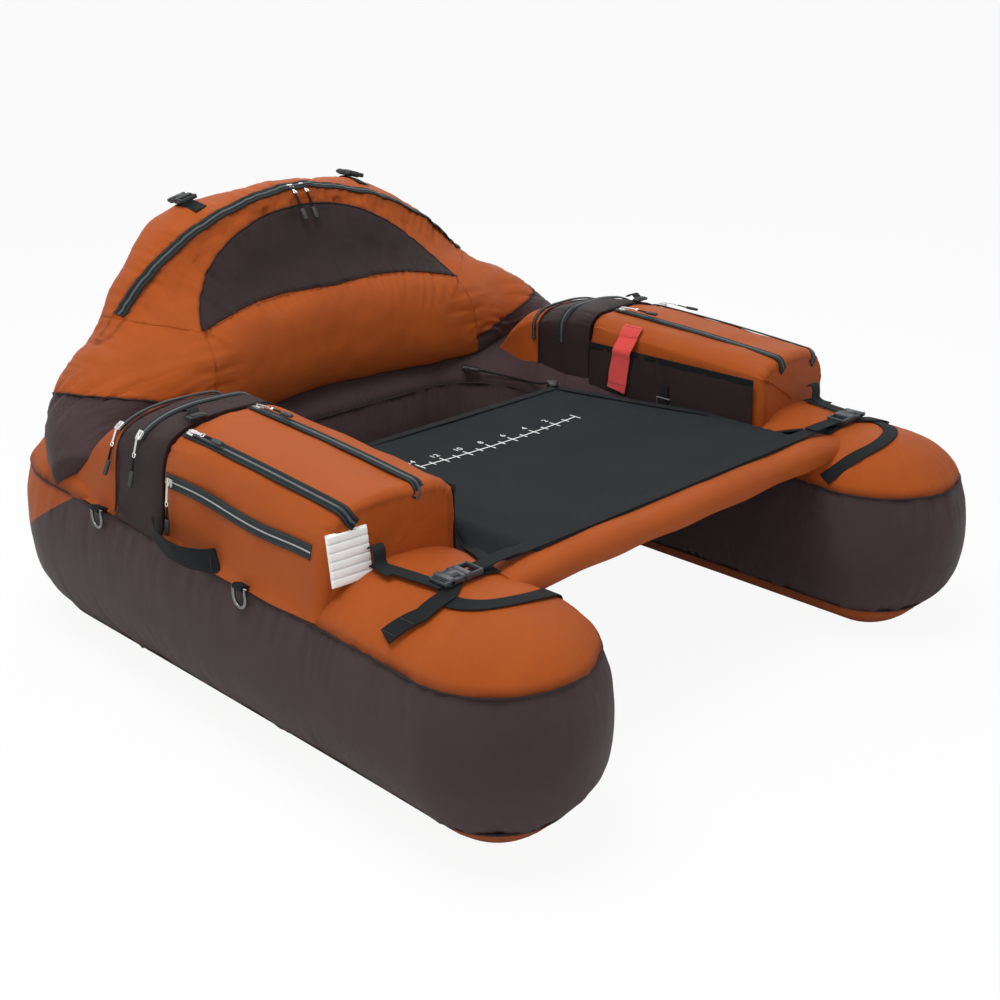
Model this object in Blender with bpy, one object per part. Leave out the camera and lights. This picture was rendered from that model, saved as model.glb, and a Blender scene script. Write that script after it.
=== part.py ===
"""Float tube: a U-shaped inflatable hull with a backrest, armrest pockets and a lap apron.

Metres, +Z up. The pontoon tips point to -Y, the backrest stands at +Y, and the sitter faces -Y.
The origin is on the ground under the middle of the hull.
"""
import math

import bmesh
import bpy
from mathutils import Matrix, Vector

# Shared clearances
GAP = 0.0003
MERGE = 0.00001
OVERRUN = 0.01
COVER_WALL = 0.0025
CLOTH_WALL = 0.002
WEBBING_WALL = 0.0018
FACING_WALL = 0.0024

# Hull
HULL_LENGTH = 1.32
HULL_WIDTH = 1.20
PONTOON_WIDTH = 0.305
REAR_TUBE_WIDTH = 0.35
OUTER_CORNER_RADIUS = 0.27
INNER_CORNER_RADIUS = 0.12
LOWER_SEAM_INSET = 0.05
LOWER_SEAM_HEIGHT = 0.05
TIP_SEAM_HEIGHT = 0.25
REAR_SEAM_HEIGHT = 0.295
SEAM_RISE_POWER = 0.6
CROWN_RISE = 0.068
REAR_STEPS = 4
CORNER_STEPS = 6
SIDE_STEPS = 5
TIP_STEPS = 10
CROWN_POWER = 2.4
CROWN_ROUNDNESS = 0.7
KEEL_POWER = 1.7
TOP_SHARES = (1.0, 0.93, 0.78, 0.5, 0.03)
# The band as pairs: its share of the way down and its share of the lower seam's inset
BAND_SHARES = ((0.0, 0.36), (0.2, 0.08), (0.42, 0.0), (0.66, 0.08), (0.85, 0.42), (1.0, 1.0))
KEEL_SHARES = (1.0, 0.85, 0.66, 0.35, 0.03)
KEEL_FLAT_SHARE = 0.35

# Backrest
ARCH_BASE_Y = 0.42206
ARCH_BASE_HEIGHT = 0.13409
ARCH_TOP_HEIGHT = 0.682
BACK_LEAN = math.radians(5)
DOME_SPAN = math.radians(51)
DOME_TAPER_START = math.radians(39)
DOME_TAPER_SHARE = 0.5
DOME_STATIONS = 18
DOME_FOOT_RADIUS = 0.13
DOME_DEPTH = 0.22
# The dome's front and back as pairs: share of its height below the arch and share of its depth
DOME_FRONT_SHARES = ((0.07, 0.075), (0.23, 0.18), (0.43, 0.25), (0.62, 0.14), (0.82, -0.1), (1.0, -0.3))
DOME_BACK_SHARES = (
    (1.0, -1.0), (0.72, -0.97), (0.45, -0.88), (0.24, -0.72), (0.08, -0.5), (-0.01, -0.3), (-0.03, -0.14),
)
DOME_WRAP = 0.158
DOME_WRAP_X = 0.37
DOME_WRAP_DROP = 0.1
DOME_WRAP_POWER = 4
DOME_WRAPPED_POINTS = 4
DOME_ROOM = 0.00075
DOME_SEAT_TILT = math.radians(26)
CUSHION_WIDTH = 0.74
CUSHION_HEIGHT = 0.19
CUSHION_TOP = 0.388
CUSHION_BULGE = 0.058
CUSHION_BACK_BULGE = 0.02
CUSHION_FORWARD = 0.058
CUSHION_WRAP = 0.057
CUSHION_DROOP = 0.05
CUSHION_POINTS = 28
CUSHION_OUTLINE_POWER = 2.6
CUSHION_SIDE_POWER = 2.3
CUSHION_SHARES = (0.3, 0.62, 0.84, 0.96, 1.0)
CRESCENT_SPAN = math.radians(39.8)
CRESCENT_TOP_DROP = 0.028
CRESCENT_FOOT_DROP = 0.171
CRESCENT_TIP_DROP = 0.097
CRESCENT_POINTS = 12
CRESCENT_TOP_POWER = 2.2
CRESCENT_FOOT_POWER = 1.6
CRESCENT_DEPTHS = (-0.01, 0.16)
# Each station of a shoulder lobe as x, y, z and radius
WING_STATIONS = (
    (0.29, 0.457, 0.402, 0.110),
    (0.345, 0.451, 0.402, 0.116),
    (0.405, 0.440, 0.393, 0.110),
    (0.46, 0.426, 0.370, 0.094),
    (0.505, 0.412, 0.345, 0.073),
    (0.54, 0.400, 0.322, 0.050),
    (0.568, 0.390, 0.303, 0.020),
)
WING_SIDES = 16
MITRE_FLOOR_SHARE = 0.5

# Armrest pockets, as half sections from the inner wall over the top to the outer wall
POCKET_INNER_X = 0.353
POCKET_WIDTH = 0.22
POCKET_HEIGHT = 0.135
POCKET_FOOT_HEIGHT = 0.295
POCKET_FRONT_Y = -0.335
POCKET_LENGTH = 0.395
POCKET_RISE = 0.024
POCKET_LIFT_SHARE = 0.8
POCKET_FRONT_SWEEP = 0.022
POCKET_EDGE = 0.014
POCKET_EDGE_SHARE = 1 / 3
POCKET_SECTION_SHARES = (
    (0.0, 0.1), (0.0, 0.72), (0.03, 0.86), (0.10, 0.945), (0.18, 0.972), (0.38, 0.985), (0.54, 0.98),
    (0.72, 0.935), (0.86, 0.845), (0.93, 0.74), (0.965, 0.60), (0.985, 0.39), (0.99, -0.04),
)
INNER_ZIP_FACET = 4
OUTER_ZIP_FACET = 7
SIDE_ZIP_FACET = 10
BAND_LENGTH = 0.13
BAND_SWELL = 0.004
BAND_FALL = 0.015
BAND_FULL_SHARE = 0.6
REAR_POCKET_LENGTH = 0.07
REAR_POCKET_SHRINK = 0.006
REAR_POCKET_DROP = 0.045
FLAT_POCKET_WALL = 0.008
FLAT_POCKET_FRONT_Y = -0.30
FLAT_POCKET_LENGTH = 0.335
FLAT_POCKET_FOOT = 0.29
FLAT_POCKET_HEIGHT = 0.113
FLAT_POCKET_EDGE = 0.002
PATCH_WIDTH = 0.058
PATCH_HEIGHT = 0.062
PATCH_WALL = 0.006
PATCH_EDGE = 0.001
FLAG_WIDTH = 0.045
FLAG_REAR_Y = -0.038
FLAG_DROP = 0.112
FLAG_LAP = 0.007
FLAG_TOP_LIFT = 0.0024
FLAG_SIDE_LIFT = 0.0036

# Zips
ZIP_TAPE_WIDTH = 0.022
ZIP_TAPE_WALL = 0.0014
ZIP_SEAT_WIDTH = 0.026
ZIP_END_MARGIN = 0.014
ZIP_ARC_SPAN = math.radians(46)
SLIDER_LENGTH = 0.015
SLIDER_WIDTH = 0.010
SLIDER_HEIGHT = 0.0045
PULL_WALL = 0.0022
PULL_WIDTH = 0.005
PULL_LENGTH = 0.042
DOME_PULL_LENGTH = 0.042
DOME_PULL_LEAN = math.radians(27)
DOME_PULL_STEP = 0.0033
DOME_PULL_FALL = 0.0066
DOME_SLIDER_ANGLE = math.radians(1.4)

# Straps and hardware
STRAP_WIDTH = 0.025
HANDLE_WIDTH = 0.036
HANDLE_LENGTH = 0.165
HANDLE_FRONT_Y = -0.095
HANDLE_REACH = 0.021
HANDLE_SAG = 0.012
HANDLE_ARCH_POWER = 0.8
HANDLE_STEPS = 8
RING_WIRE = 0.0042
RING_WIDTH = 0.032
RING_DROP = 0.03
RING_STEPS = 7
RING_STAND_OFF = 0.0135
RING_FRONT_Y = -0.158
RING_REAR_Y = 0.221
TAB_WIDTH = 0.022
TAB_WALL = 0.003
TAB_SIDES = 12
TAB_REACH = 0.015
BUCKLE_LENGTH = 0.036
BUCKLE_WIDTH = 0.034
BUCKLE_HEIGHT = 0.012
BUCKLE_EDGE = 0.002
PLUG_LENGTH = 0.03
PRONG_LENGTH = 0.022
PRONG_WIDTH = 0.005
PRONG_HEIGHT = 0.005
PRONG_SPREAD = 0.0085
BAR_SLOT_LENGTH = 0.008
DOME_STRAP_ANGLE = math.radians(19)
DOME_STRAP_STEPS = 4
DOME_BUCKLE_LENGTH = 0.045
TIP_STRAP_STOPS = (-0.3, -0.03, 0.03, 0.5, 0.78, 0.9)

# Apron and spreader
APRON_REAR_Y = 0.045
APRON_REAR_WIDTH = 0.49
APRON_FRONT_Y = -0.452
APRON_FRONT_WIDTH = 0.71
APRON_SAG = 0.012
APRON_COLUMNS = 10
APRON_ROWS = 8
APRON_WEBBING_WIDTH = 0.025
APRON_WEBBING_SPAN = 0.80
SPREADER_Y = -0.45
SPREADER_WIDTH = 0.07
SPREADER_HEIGHT = 0.05
SPREADER_SPAN = 0.76
SPREADER_SIDES = 16
SPREADER_POWER = 2.3
SPREADER_BAR_DIAMETER = 0.022
SPREADER_BAR_SPAN = 0.52
SPREADER_BAR_SIDES = 16

# Seat
SEAT_REAR_GAP = 0.05
SEAT_LENGTH = 0.30
SEAT_HEM_HEIGHT = 0.155
SEAT_SAG = 0.075
SEAT_SAG_POWER = 2.2
SEAT_EDGE_ROOM = 0.002
SEAT_COLUMNS = 14
SEAT_ROWS = 6
SEAT_REAR_RISE = 0.02

# Colours, with roughness and metallic
ORANGE = ((0.42, 0.098, 0.022), 0.62, 0.0)
BROWN = ((0.052, 0.036, 0.038), 0.66, 0.0)
DEEP_BROWN = ((0.028, 0.017, 0.018), 0.7, 0.0)
CHARCOAL = ((0.022, 0.027, 0.030), 0.8, 0.0)
BLACK_WEBBING = ((0.012, 0.015, 0.017), 0.75, 0.0)
BLACK_PLASTIC = ((0.02, 0.022, 0.025), 0.38, 0.0)
ZIP_BLUE_GREY = ((0.045, 0.065, 0.072), 0.6, 0.0)
CHROME = ((0.75, 0.75, 0.74), 0.22, 1.0)
RING_STEEL = ((0.20, 0.20, 0.20), 0.35, 1.0)
BAR_ALUMINIUM = ((0.6, 0.6, 0.6), 0.35, 1.0)
PALE_FOAM = ((0.80, 0.80, 0.78), 0.85, 0.0)
CORAL = ((0.83, 0.09, 0.08), 0.6, 0.0)
BLADDER_VINYL = ((0.30, 0.32, 0.33), 0.4, 0.0)

SIDES = (("left", 1), ("right", -1))

for old in list(bpy.data.objects):
    bpy.data.objects.remove(old, do_unlink=True)


def material(name, colour, roughness, metallic):
    """A plain surface in one colour."""
    surface = bpy.data.materials.new(name)
    surface.use_nodes = True
    shader = surface.node_tree.nodes["Principled BSDF"]
    shader.inputs["Base Color"].default_value = (*colour, 1.0)
    shader.inputs["Roughness"].default_value = roughness
    shader.inputs["Metallic"].default_value = metallic
    surface.diffuse_color = (*colour, 1.0)
    return surface


def add_piece(name, bm, finish, origin=None, smooth_angle=math.radians(35)):
    """Put a finished bmesh into the scene as one named sub-part, its origin where it turns."""
    mesh = bpy.data.meshes.new(name)
    if origin is not None:
        bmesh.ops.translate(bm, verts=bm.verts, vec=-Vector(origin))
    bm.to_mesh(mesh)
    bm.free()
    mesh.shade_smooth()
    mesh.set_sharp_from_angle(angle=smooth_angle)
    piece = bpy.data.objects.new(name, mesh)
    if origin is not None:
        piece.location = origin
    mesh.materials.append(material(name, *finish))
    bpy.context.collection.objects.link(piece)
    return piece


def add_cutter(name, bm):
    """Put a bmesh into the scene as a guide that only shapes other pieces."""
    mesh = bpy.data.meshes.new(name)
    bm.to_mesh(mesh)
    bm.free()
    cutter = bpy.data.objects.new(name, mesh)
    cutter.hide_render = True
    cutter.display_type = "WIRE"
    bpy.context.collection.objects.link(cutter)
    return cutter


def combine(piece, other, operation="DIFFERENCE"):
    """Cut, keep or add another body."""
    step = piece.modifiers.new(operation.title() + " " + other.name, "BOOLEAN")
    step.operation = operation
    step.solver = "EXACT"
    step.object = other


def thicken(piece, wall, offset=-1.0):
    """Give an open sheet its wall."""
    step = piece.modifiers.new("Wall", "SOLIDIFY")
    step.thickness = wall
    step.offset = offset
    step.use_even_offset = True


def add_ring(bm, points):
    """A closed loop of edges through the points."""
    verts = [bm.verts.new(point) for point in points]
    return [bm.edges.new(pair) for pair in zip(verts, verts[1:] + verts[:1])]


def close_up(bm):
    """Merge doubles and turn every face outwards."""
    bmesh.ops.remove_doubles(bm, verts=bm.verts, dist=MERGE)
    bmesh.ops.recalc_face_normals(bm, faces=bm.faces)
    return bm


def split_evenly(bm):
    """Split every face the same way in a body and in the cutter that is grown from it."""
    bmesh.ops.triangulate(bm, faces=bm.faces, quad_method="SHORT_EDGE")
    return bm


def loft(rings, wrap=False, pinches=()):
    """Bridge closed rings into one body. A pinch names a ring and the points it closes onto."""
    bm = bmesh.new()
    loops = [add_ring(bm, points) for points in rings]
    following = loops[1:] + loops[:1] if wrap else loops[1:]
    for loop, after in zip(loops, following):
        bmesh.ops.bridge_loops(bm, edges=loop + after)
    for number, targets in pinches:
        starts = [edge.verts for edge in loops[number]]
        for (vert, _), target in zip(starts, targets):
            vert.co = target
    open_ends = [edge for edge in bm.edges if edge.is_boundary]
    if open_ends and not pinches:
        bmesh.ops.holes_fill(bm, edges=open_ends)
    return close_up(bm)


def sheet(columns, rows, place):
    """An open sheet whose grid points are moved by place(across share, along share)."""
    bm = bmesh.new()
    bmesh.ops.create_grid(bm, x_segments=columns, y_segments=rows, size=1)
    for vert in bm.verts:
        vert.co = place(0.5 + vert.co.x / 2, 0.5 + vert.co.y / 2)
    return bm


def facing(bm, direction):
    """Turn a sheet's faces so that they look along the direction."""
    bmesh.ops.recalc_face_normals(bm, faces=bm.faces)
    total = sum((face.normal * face.calc_area() for face in bm.faces), Vector())
    if total.dot(Vector(direction)) < 0:
        bmesh.ops.reverse_faces(bm, faces=bm.faces)
    return bm


def box(length_x, length_y, length_z, edge=0.0):
    """A block round the origin with its edges rounded."""
    bm = bmesh.new()
    bmesh.ops.create_cube(bm, size=1)
    bmesh.ops.scale(bm, verts=bm.verts, vec=(length_x, length_y, length_z))
    if edge:
        bmesh.ops.bevel(bm, geom=bm.edges[:], offset=edge, segments=1, profile=0.5, affect="EDGES", material=-1)
    return bm


def moved(bm, place, turn=None):
    """Turn a bmesh about the origin and carry it to its place."""
    if turn is not None:
        bmesh.ops.transform(bm, matrix=turn, verts=bm.verts)
    bmesh.ops.translate(bm, verts=bm.verts, vec=place)
    return bm


def mix(start, end, share):
    """The value a share of the way from start to end."""
    return start + (end - start) * share


# The hull's outline as ribs from its ridge line to its wall
HALF_LENGTH = HULL_LENGTH / 2
HALF_WIDTH = HULL_WIDTH / 2
PONTOON_RADIUS = PONTOON_WIDTH / 2
RIDGE_X = HALF_WIDTH - PONTOON_RADIUS
SEAM_INSET = LOWER_SEAM_INSET * BAND_SHARES[0][1]
INNER_X = HALF_WIDTH - PONTOON_WIDTH
TIP_Y = PONTOON_RADIUS - HALF_LENGTH
INNER_REAR_Y = HALF_LENGTH - REAR_TUBE_WIDTH
MIDDLE_HEIGHT = (LOWER_SEAM_HEIGHT + TIP_SEAM_HEIGHT) / 2


def rail(rear_y, side_x, corner):
    """Points of one wall from the middle of the rear to the tip's centre line, on the +X half."""
    flat = side_x - corner
    points = [Vector((flat * step / REAR_STEPS, rear_y)) for step in range(REAR_STEPS)]
    for step in range(CORNER_STEPS):
        angle = math.pi / 2 * (1 - step / CORNER_STEPS)
        points.append(Vector((flat + corner * math.cos(angle), rear_y - corner + corner * math.sin(angle))))
    start = rear_y - corner
    points += [Vector((side_x, mix(start, TIP_Y, step / SIDE_STEPS))) for step in range(SIDE_STEPS + 1)]
    return points


OUTER_RAIL = rail(HALF_LENGTH, HALF_WIDTH, OUTER_CORNER_RADIUS)
INNER_RAIL = rail(INNER_REAR_Y, INNER_X, INNER_CORNER_RADIUS)
RIDGE = [(outer + inner) / 2 for outer, inner in zip(OUTER_RAIL, INNER_RAIL)]


def hull_ribs():
    """Each rib as its ridge point and wall point, once round the whole outline."""
    tip = RIDGE[-1]
    outer = list(zip(RIDGE, OUTER_RAIL))
    turn = []
    for step in range(1, TIP_STEPS):
        angle = -math.pi * step / TIP_STEPS
        turn.append((tip, tip + PONTOON_RADIUS * Vector((math.cos(angle), math.sin(angle)))))
    inner = list(zip(RIDGE, INNER_RAIL))[::-1]
    half = outer + turn + inner
    flip = Vector((-1, 1))
    other = [(ridge * flip, wall * flip) for ridge, wall in half[1:-1]]
    return half + other[::-1]


RIBS = hull_ribs()


def seam_height(y):
    """The top seam rises from the tips to the rear, quickest near the tips."""
    share = max(0.0, (y + HALF_LENGTH) / HULL_LENGTH)
    return mix(TIP_SEAM_HEIGHT, REAR_SEAM_HEIGHT, share ** SEAM_RISE_POWER)


def crown_height(y, share):
    """Height of the top panel, at a share of the way from the ridge to the seam."""
    return seam_height(y) + CROWN_RISE * (1 - min(share, 1) ** CROWN_POWER) ** CROWN_ROUNDNESS


def pontoon_top(x, y):
    """Height of a pontoon's top panel at a place on its straight part."""
    return crown_height(y, abs(abs(x) - RIDGE_X) / (PONTOON_RADIUS - SEAM_INSET))


def hull_ring(part, share, inset, shift=0.0):
    """One loop round the hull, drawn in by an inset and slid along the wall by a shift."""
    points = []
    for ridge, wall in RIBS:
        rib = wall - ridge
        reach = rib.length
        top = seam_height(ridge.y)
        if part == "band":
            down, drawn_in = share
            out = reach - LOWER_SEAM_INSET * drawn_in
            height = mix(top - shift, LOWER_SEAM_HEIGHT + shift, down)
        elif part == "top":
            out = share * (reach - SEAM_INSET)
            height = crown_height(ridge.y, share) + shift
        else:
            out = share * (reach - LOWER_SEAM_INSET)
            flat = max(0.0, (share - KEEL_FLAT_SHARE) / (1 - KEEL_FLAT_SHARE))
            height = LOWER_SEAM_HEIGHT * flat ** KEEL_POWER - shift * flat
        squeeze = 1 - inset / PONTOON_RADIUS
        height = MIDDLE_HEIGHT + (height - MIDDLE_HEIGHT) * (1 - inset / MIDDLE_HEIGHT)
        place = ridge + rib * (out * squeeze / reach)
        points.append(Vector((place.x, place.y, height)))
    return points


def pinch(rings, number):
    """Where a ring closes onto the ridge line."""
    level = sum(point.z for point in rings[number]) / len(rings[number])
    spread = [point.z - level for point in rings[number]]
    return number, [Vector((ridge.x, ridge.y, level + rise)) for (ridge, _), rise in zip(RIBS, spread)]


def hull_shell(part, shares, wall, shift):
    """A top or bottom panel: an outer and an inner skin that meet along its seam edge."""
    outer = [hull_ring(part, share, 0.0, shift) for share in reversed(shares)]
    inner = [hull_ring(part, share, wall, shift) for share in shares]
    rings = outer + inner
    return split_evenly(loft(rings, pinches=(pinch(rings, 0), pinch(rings, len(rings) - 1))))


def hull_solid(inset):
    """The whole inflated volume, drawn in by an inset."""
    rings = [hull_ring("top", share, inset) for share in reversed(TOP_SHARES)]
    rings += [hull_ring("band", share, inset) for share in BAND_SHARES[1:-1]]
    rings += [hull_ring("keel", share, inset) for share in KEEL_SHARES]
    return split_evenly(loft(rings, pinches=(pinch(rings, 0), pinch(rings, len(rings) - 1))))


def build_hull():
    """Orange top, brown side band, orange bottom and the bladder that they wrap."""
    add_piece("hull_top_panel", hull_shell("top", TOP_SHARES, COVER_WALL, GAP / 2), ORANGE)
    add_piece("hull_bottom_panel", hull_shell("keel", KEEL_SHARES, COVER_WALL, GAP / 2), ORANGE)
    outer = [hull_ring("band", share, 0.0, GAP / 2) for share in BAND_SHARES]
    inner = [hull_ring("band", share, COVER_WALL, GAP / 2) for share in reversed(BAND_SHARES)]
    add_piece("hull_side_band", split_evenly(loft(outer + inner, wrap=True)), BROWN)
    add_piece("main_bladder", hull_solid(COVER_WALL + GAP), BLADDER_VINYL)
    return add_cutter("hull_space", hull_solid(-GAP))


# The backrest's own frame: an arch of one radius in a plane that leans back
ARCH_UP = Vector((0, math.sin(BACK_LEAN), math.cos(BACK_LEAN)))
ARCH_FRONT = Vector((0, -math.cos(BACK_LEAN), math.sin(BACK_LEAN)))
ARCH_CENTRE = Vector((0, ARCH_BASE_Y, ARCH_BASE_HEIGHT))
ARCH_RADIUS = (ARCH_TOP_HEIGHT - ARCH_BASE_HEIGHT) / ARCH_UP.z
DOME_HEIGHT = ARCH_RADIUS - DOME_FOOT_RADIUS


def arch_radial(angle):
    """Away from the arch's centre, at an angle from its top."""
    return Vector((math.sin(angle), 0, 0)) + math.cos(angle) * ARCH_UP


def arch_place(angle, radius, forward):
    """A place by its angle round the arch, its distance from the centre and its depth."""
    return ARCH_CENTRE + radius * arch_radial(angle) + forward * ARCH_FRONT


def dome_wrap(angle, drop):
    """How far the dome's front comes forward at the sides, to hold the sitter."""
    across = abs((ARCH_RADIUS - drop) * math.sin(angle)) / DOME_WRAP_X
    return DOME_WRAP * across ** DOME_WRAP_POWER * min(1.0, max(0.0, drop) / DOME_WRAP_DROP) ** 2


def dome_section(grow):
    """The dome's section as drops below the arch and depths in front of it, grown outwards."""
    half = ZIP_SEAT_WIDTH / 2
    sine, cosine = math.sin(DOME_SEAT_TILT), math.cos(DOME_SEAT_TILT)
    front = [(drop * DOME_HEIGHT, depth * DOME_DEPTH) for drop, depth in DOME_FRONT_SHARES]
    back = [(drop * DOME_HEIGHT, depth * DOME_DEPTH) for drop, depth in DOME_BACK_SHARES]
    section = [Vector((half * sine, half * cosine))]
    section += [Vector(place) for place in front + back]
    section.append(Vector((-half * sine, -half * cosine)))
    return outgrown(section, grow)


def outgrown(section, grow):
    """A closed section with every edge moved outwards by the same distance."""
    if not grow:
        return section
    area = sum(a.x * b.y - b.x * a.y for a, b in zip(section, section[1:] + section[:1]))
    side = 1 if area > 0 else -1
    result = []
    for before, here, after in zip(section[-1:] + section[:-1], section, section[1:] + section[:1]):
        into, out = (here - before).normalized(), (after - here).normalized()
        normals = [side * Vector((edge.y, -edge.x)) for edge in (into, out)]
        middle = normals[0] + normals[1]
        result.append(here + middle * (grow / max(middle.dot(normals[0]), MITRE_FLOOR_SHARE)))
    return result


def dome_body(grow=0.0):
    """The storage dome, as the same section swept round the arch and drawn in at its two ends."""
    rings = []
    section = dome_section(grow)
    reach = DOME_SPAN + grow / ARCH_RADIUS
    for station in range(DOME_STATIONS + 1):
        angle = mix(-reach, reach, station / DOME_STATIONS)
        late = max(0.0, (abs(angle) - DOME_TAPER_START) / (DOME_SPAN - DOME_TAPER_START))
        taper = mix(1.0, DOME_TAPER_SHARE, min(late, 1) ** 2)
        ring = []
        for number, (drop, depth) in enumerate(section):
            forward = dome_wrap(angle, drop) if number <= DOME_WRAPPED_POINTS else 0.0
            ring.append(arch_place(angle, ARCH_RADIUS - drop * taper, (depth + forward) * taper))
        rings.append(ring)
    return split_evenly(loft(rings))


def superellipse(turn, half_width, half_height, power):
    """A point on a rounded oblong."""
    cosine, sine = math.cos(turn), math.sin(turn)
    across = half_width * math.copysign(abs(cosine) ** (2 / power), cosine)
    along = half_height * math.copysign(abs(sine) ** (2 / power), sine)
    return across, along


def cushion_ring(share, swell, grow):
    """One loop of the back cushion, at a share of its outline and of its swell."""
    half_width = CUSHION_WIDTH / 2 + grow
    half_height = CUSHION_HEIGHT / 2 + grow
    middle = CUSHION_TOP - CUSHION_HEIGHT / 2
    points = []
    for step in range(CUSHION_POINTS):
        turn = math.tau * step / CUSHION_POINTS
        across, along = superellipse(turn, half_width, half_height, CUSHION_OUTLINE_POWER)
        across, along = across * share, along * share
        side = (across / (CUSHION_WIDTH / 2)) ** 2
        up = middle + along - CUSHION_DROOP * side
        depth = swell + CUSHION_WRAP * side + CUSHION_FORWARD
        points.append(ARCH_CENTRE + Vector((across, 0, 0)) + up * ARCH_UP + depth * ARCH_FRONT)
    return points


def cushion_body(grow=0.0):
    """The crowned back cushion: drawn in at its rim, fullest in the middle."""
    rings = []
    for share in CUSHION_SHARES:
        fullness = (1 - share ** CUSHION_SIDE_POWER) ** (1 / CUSHION_SIDE_POWER)
        rings.append(cushion_ring(share, (CUSHION_BULGE + grow) * fullness, grow))
    for share in reversed(CUSHION_SHARES[:-1]):
        fullness = (1 - share ** CUSHION_SIDE_POWER) ** (1 / CUSHION_SIDE_POWER)
        rings.append(cushion_ring(share, -(CUSHION_BACK_BULGE + grow) * fullness, grow))
    return split_evenly(loft(rings))


def wing_body(side, grow=0.0):
    """A shoulder lobe from the backrest's side down to the hull's rear corner."""
    centres = [Vector(station[:3]) for station in WING_STATIONS]
    befores = centres[:1] + centres[:-1]
    afters = centres[1:] + centres[-1:]
    rings = []
    for before, here, after, station in zip(befores, centres, afters, WING_STATIONS):
        heading = (after - before).normalized()
        up = (Vector((0, 0, 1)) - heading * heading.z).normalized()
        across = heading.cross(up)
        radius = station[3] + grow
        ring = []
        for step in range(WING_SIDES):
            turn = math.tau * step / WING_SIDES
            point = here + radius * (math.cos(turn) * up + math.sin(turn) * across)
            ring.append(Vector((side * point.x, point.y, point.z)))
        rings.append(ring)
    return split_evenly(loft(rings))


def crescent_prism():
    """A prism through the dome's front with the crescent's outline."""
    edge = []
    for step in range(CRESCENT_POINTS + 1):
        share = 2 * step / CRESCENT_POINTS - 1
        drop = mix(CRESCENT_TOP_DROP, CRESCENT_TIP_DROP, abs(share) ** CRESCENT_TOP_POWER)
        edge.append((share * CRESCENT_SPAN, ARCH_RADIUS - drop))
    for step in range(CRESCENT_POINTS - 1, 0, -1):
        share = 2 * step / CRESCENT_POINTS - 1
        drop = mix(CRESCENT_FOOT_DROP, CRESCENT_TIP_DROP, abs(share) ** CRESCENT_FOOT_POWER)
        edge.append((share * CRESCENT_SPAN, ARCH_RADIUS - drop))
    rings = [[arch_place(angle, radius, depth) for angle, radius in edge] for depth in CRESCENT_DEPTHS]
    return loft(rings)


def build_backrest(hull_space):
    """Cushion, dome, wings and crescent, each seated on what lies under it."""
    cushion = add_piece("back_cushion", cushion_body(), ORANGE)
    combine(cushion, hull_space)
    cushion_space = add_cutter("cushion_space", cushion_body(GAP))
    dome = add_piece("storage_dome", dome_body(), ORANGE)
    dome_space = add_cutter("dome_space", dome_body(GAP))
    for cutter in (hull_space, cushion_space):
        combine(dome, cutter)
    crescent = add_piece("back_crescent_panel", dome_body(GAP + FACING_WALL), DEEP_BROWN)
    combine(crescent, add_cutter("crescent_outline", crescent_prism()), "INTERSECT")
    for cutter in (dome_space, cushion_space):
        combine(crescent, cutter)
    dome_room = add_cutter("dome_room", dome_body(DOME_ROOM))
    spaces = {}
    for name, side in SIDES:
        wing = add_piece("back_wing_" + name, wing_body(side), ORANGE)
        for cutter in (hull_space, cushion_space, dome_room):
            combine(wing, cutter)
        spaces[name] = add_cutter("wing_space_" + name, wing_body(side, GAP))
    return spaces


def pocket_section(swell=0.0):
    """The armrest's section as places across and heights, on the +X side."""
    points = []
    for across, up in POCKET_SECTION_SHARES:
        points.append(Vector((POCKET_INNER_X + across * POCKET_WIDTH, POCKET_FOOT_HEIGHT + up * POCKET_HEIGHT)))
    if not swell:
        return points
    return outgrown(points, swell)


def pocket_rise(y):
    """The armrest's top climbs evenly to the band and rounds down behind it."""
    behind = max(0.0, y - POCKET_FRONT_Y - POCKET_LENGTH) / BAND_LENGTH
    return POCKET_RISE * min(1.0, (y - POCKET_FRONT_Y) / POCKET_LENGTH) - BAND_FALL * behind ** 2


def pocket_ring(side, y, swell=0.0, sweep=0.0):
    """One upright loop of an armrest at a place along it."""
    ring = []
    for point in pocket_section(swell):
        share = (point.y - POCKET_FOOT_HEIGHT) / POCKET_HEIGHT
        back = sweep * (point.x - POCKET_INNER_X) / POCKET_WIDTH
        lift = pocket_rise(y + back) * min(1.0, max(share, 0.0) / POCKET_LIFT_SHARE)
        ring.append(Vector((side * point.x, y + back, point.y + lift)))
    return ring


def pocket_top(facet, y, side):
    """Middle of one facet of the armrest, its outward normal and its direction across."""
    ring = pocket_ring(side, y)
    start, end = ring[facet], ring[facet + 1]
    across = (end - start).normalized()
    middle = (start + end) / 2
    beyond = pocket_ring(side, y + POCKET_EDGE)
    along = ((beyond[facet] + beyond[facet + 1]) / 2 - middle).normalized()
    normal = along.cross(across)
    if normal.dot(Vector((side * 1, 0, 1))) < 0:
        normal = -normal
    return middle, normal.normalized(), along


def tape(name, side, facet, start_y, end_y):
    """A zip's tape along one facet of the armrest."""
    middle, normal, along = pocket_top(facet, start_y, side)
    far, far_normal, _ = pocket_top(facet, end_y, side)
    normal = (normal + far_normal).normalized()
    along = (far - middle).normalized()
    length = (far - middle).length
    across = along.cross(normal)
    turn = Matrix((across, along, normal)).transposed().to_4x4()
    lift = normal * (GAP + ZIP_TAPE_WALL / 2)
    strip = box(ZIP_TAPE_WIDTH, length, ZIP_TAPE_WALL)
    add_piece(name, moved(strip, (middle + far) / 2 + lift, turn), ZIP_BLUE_GREY)


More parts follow.
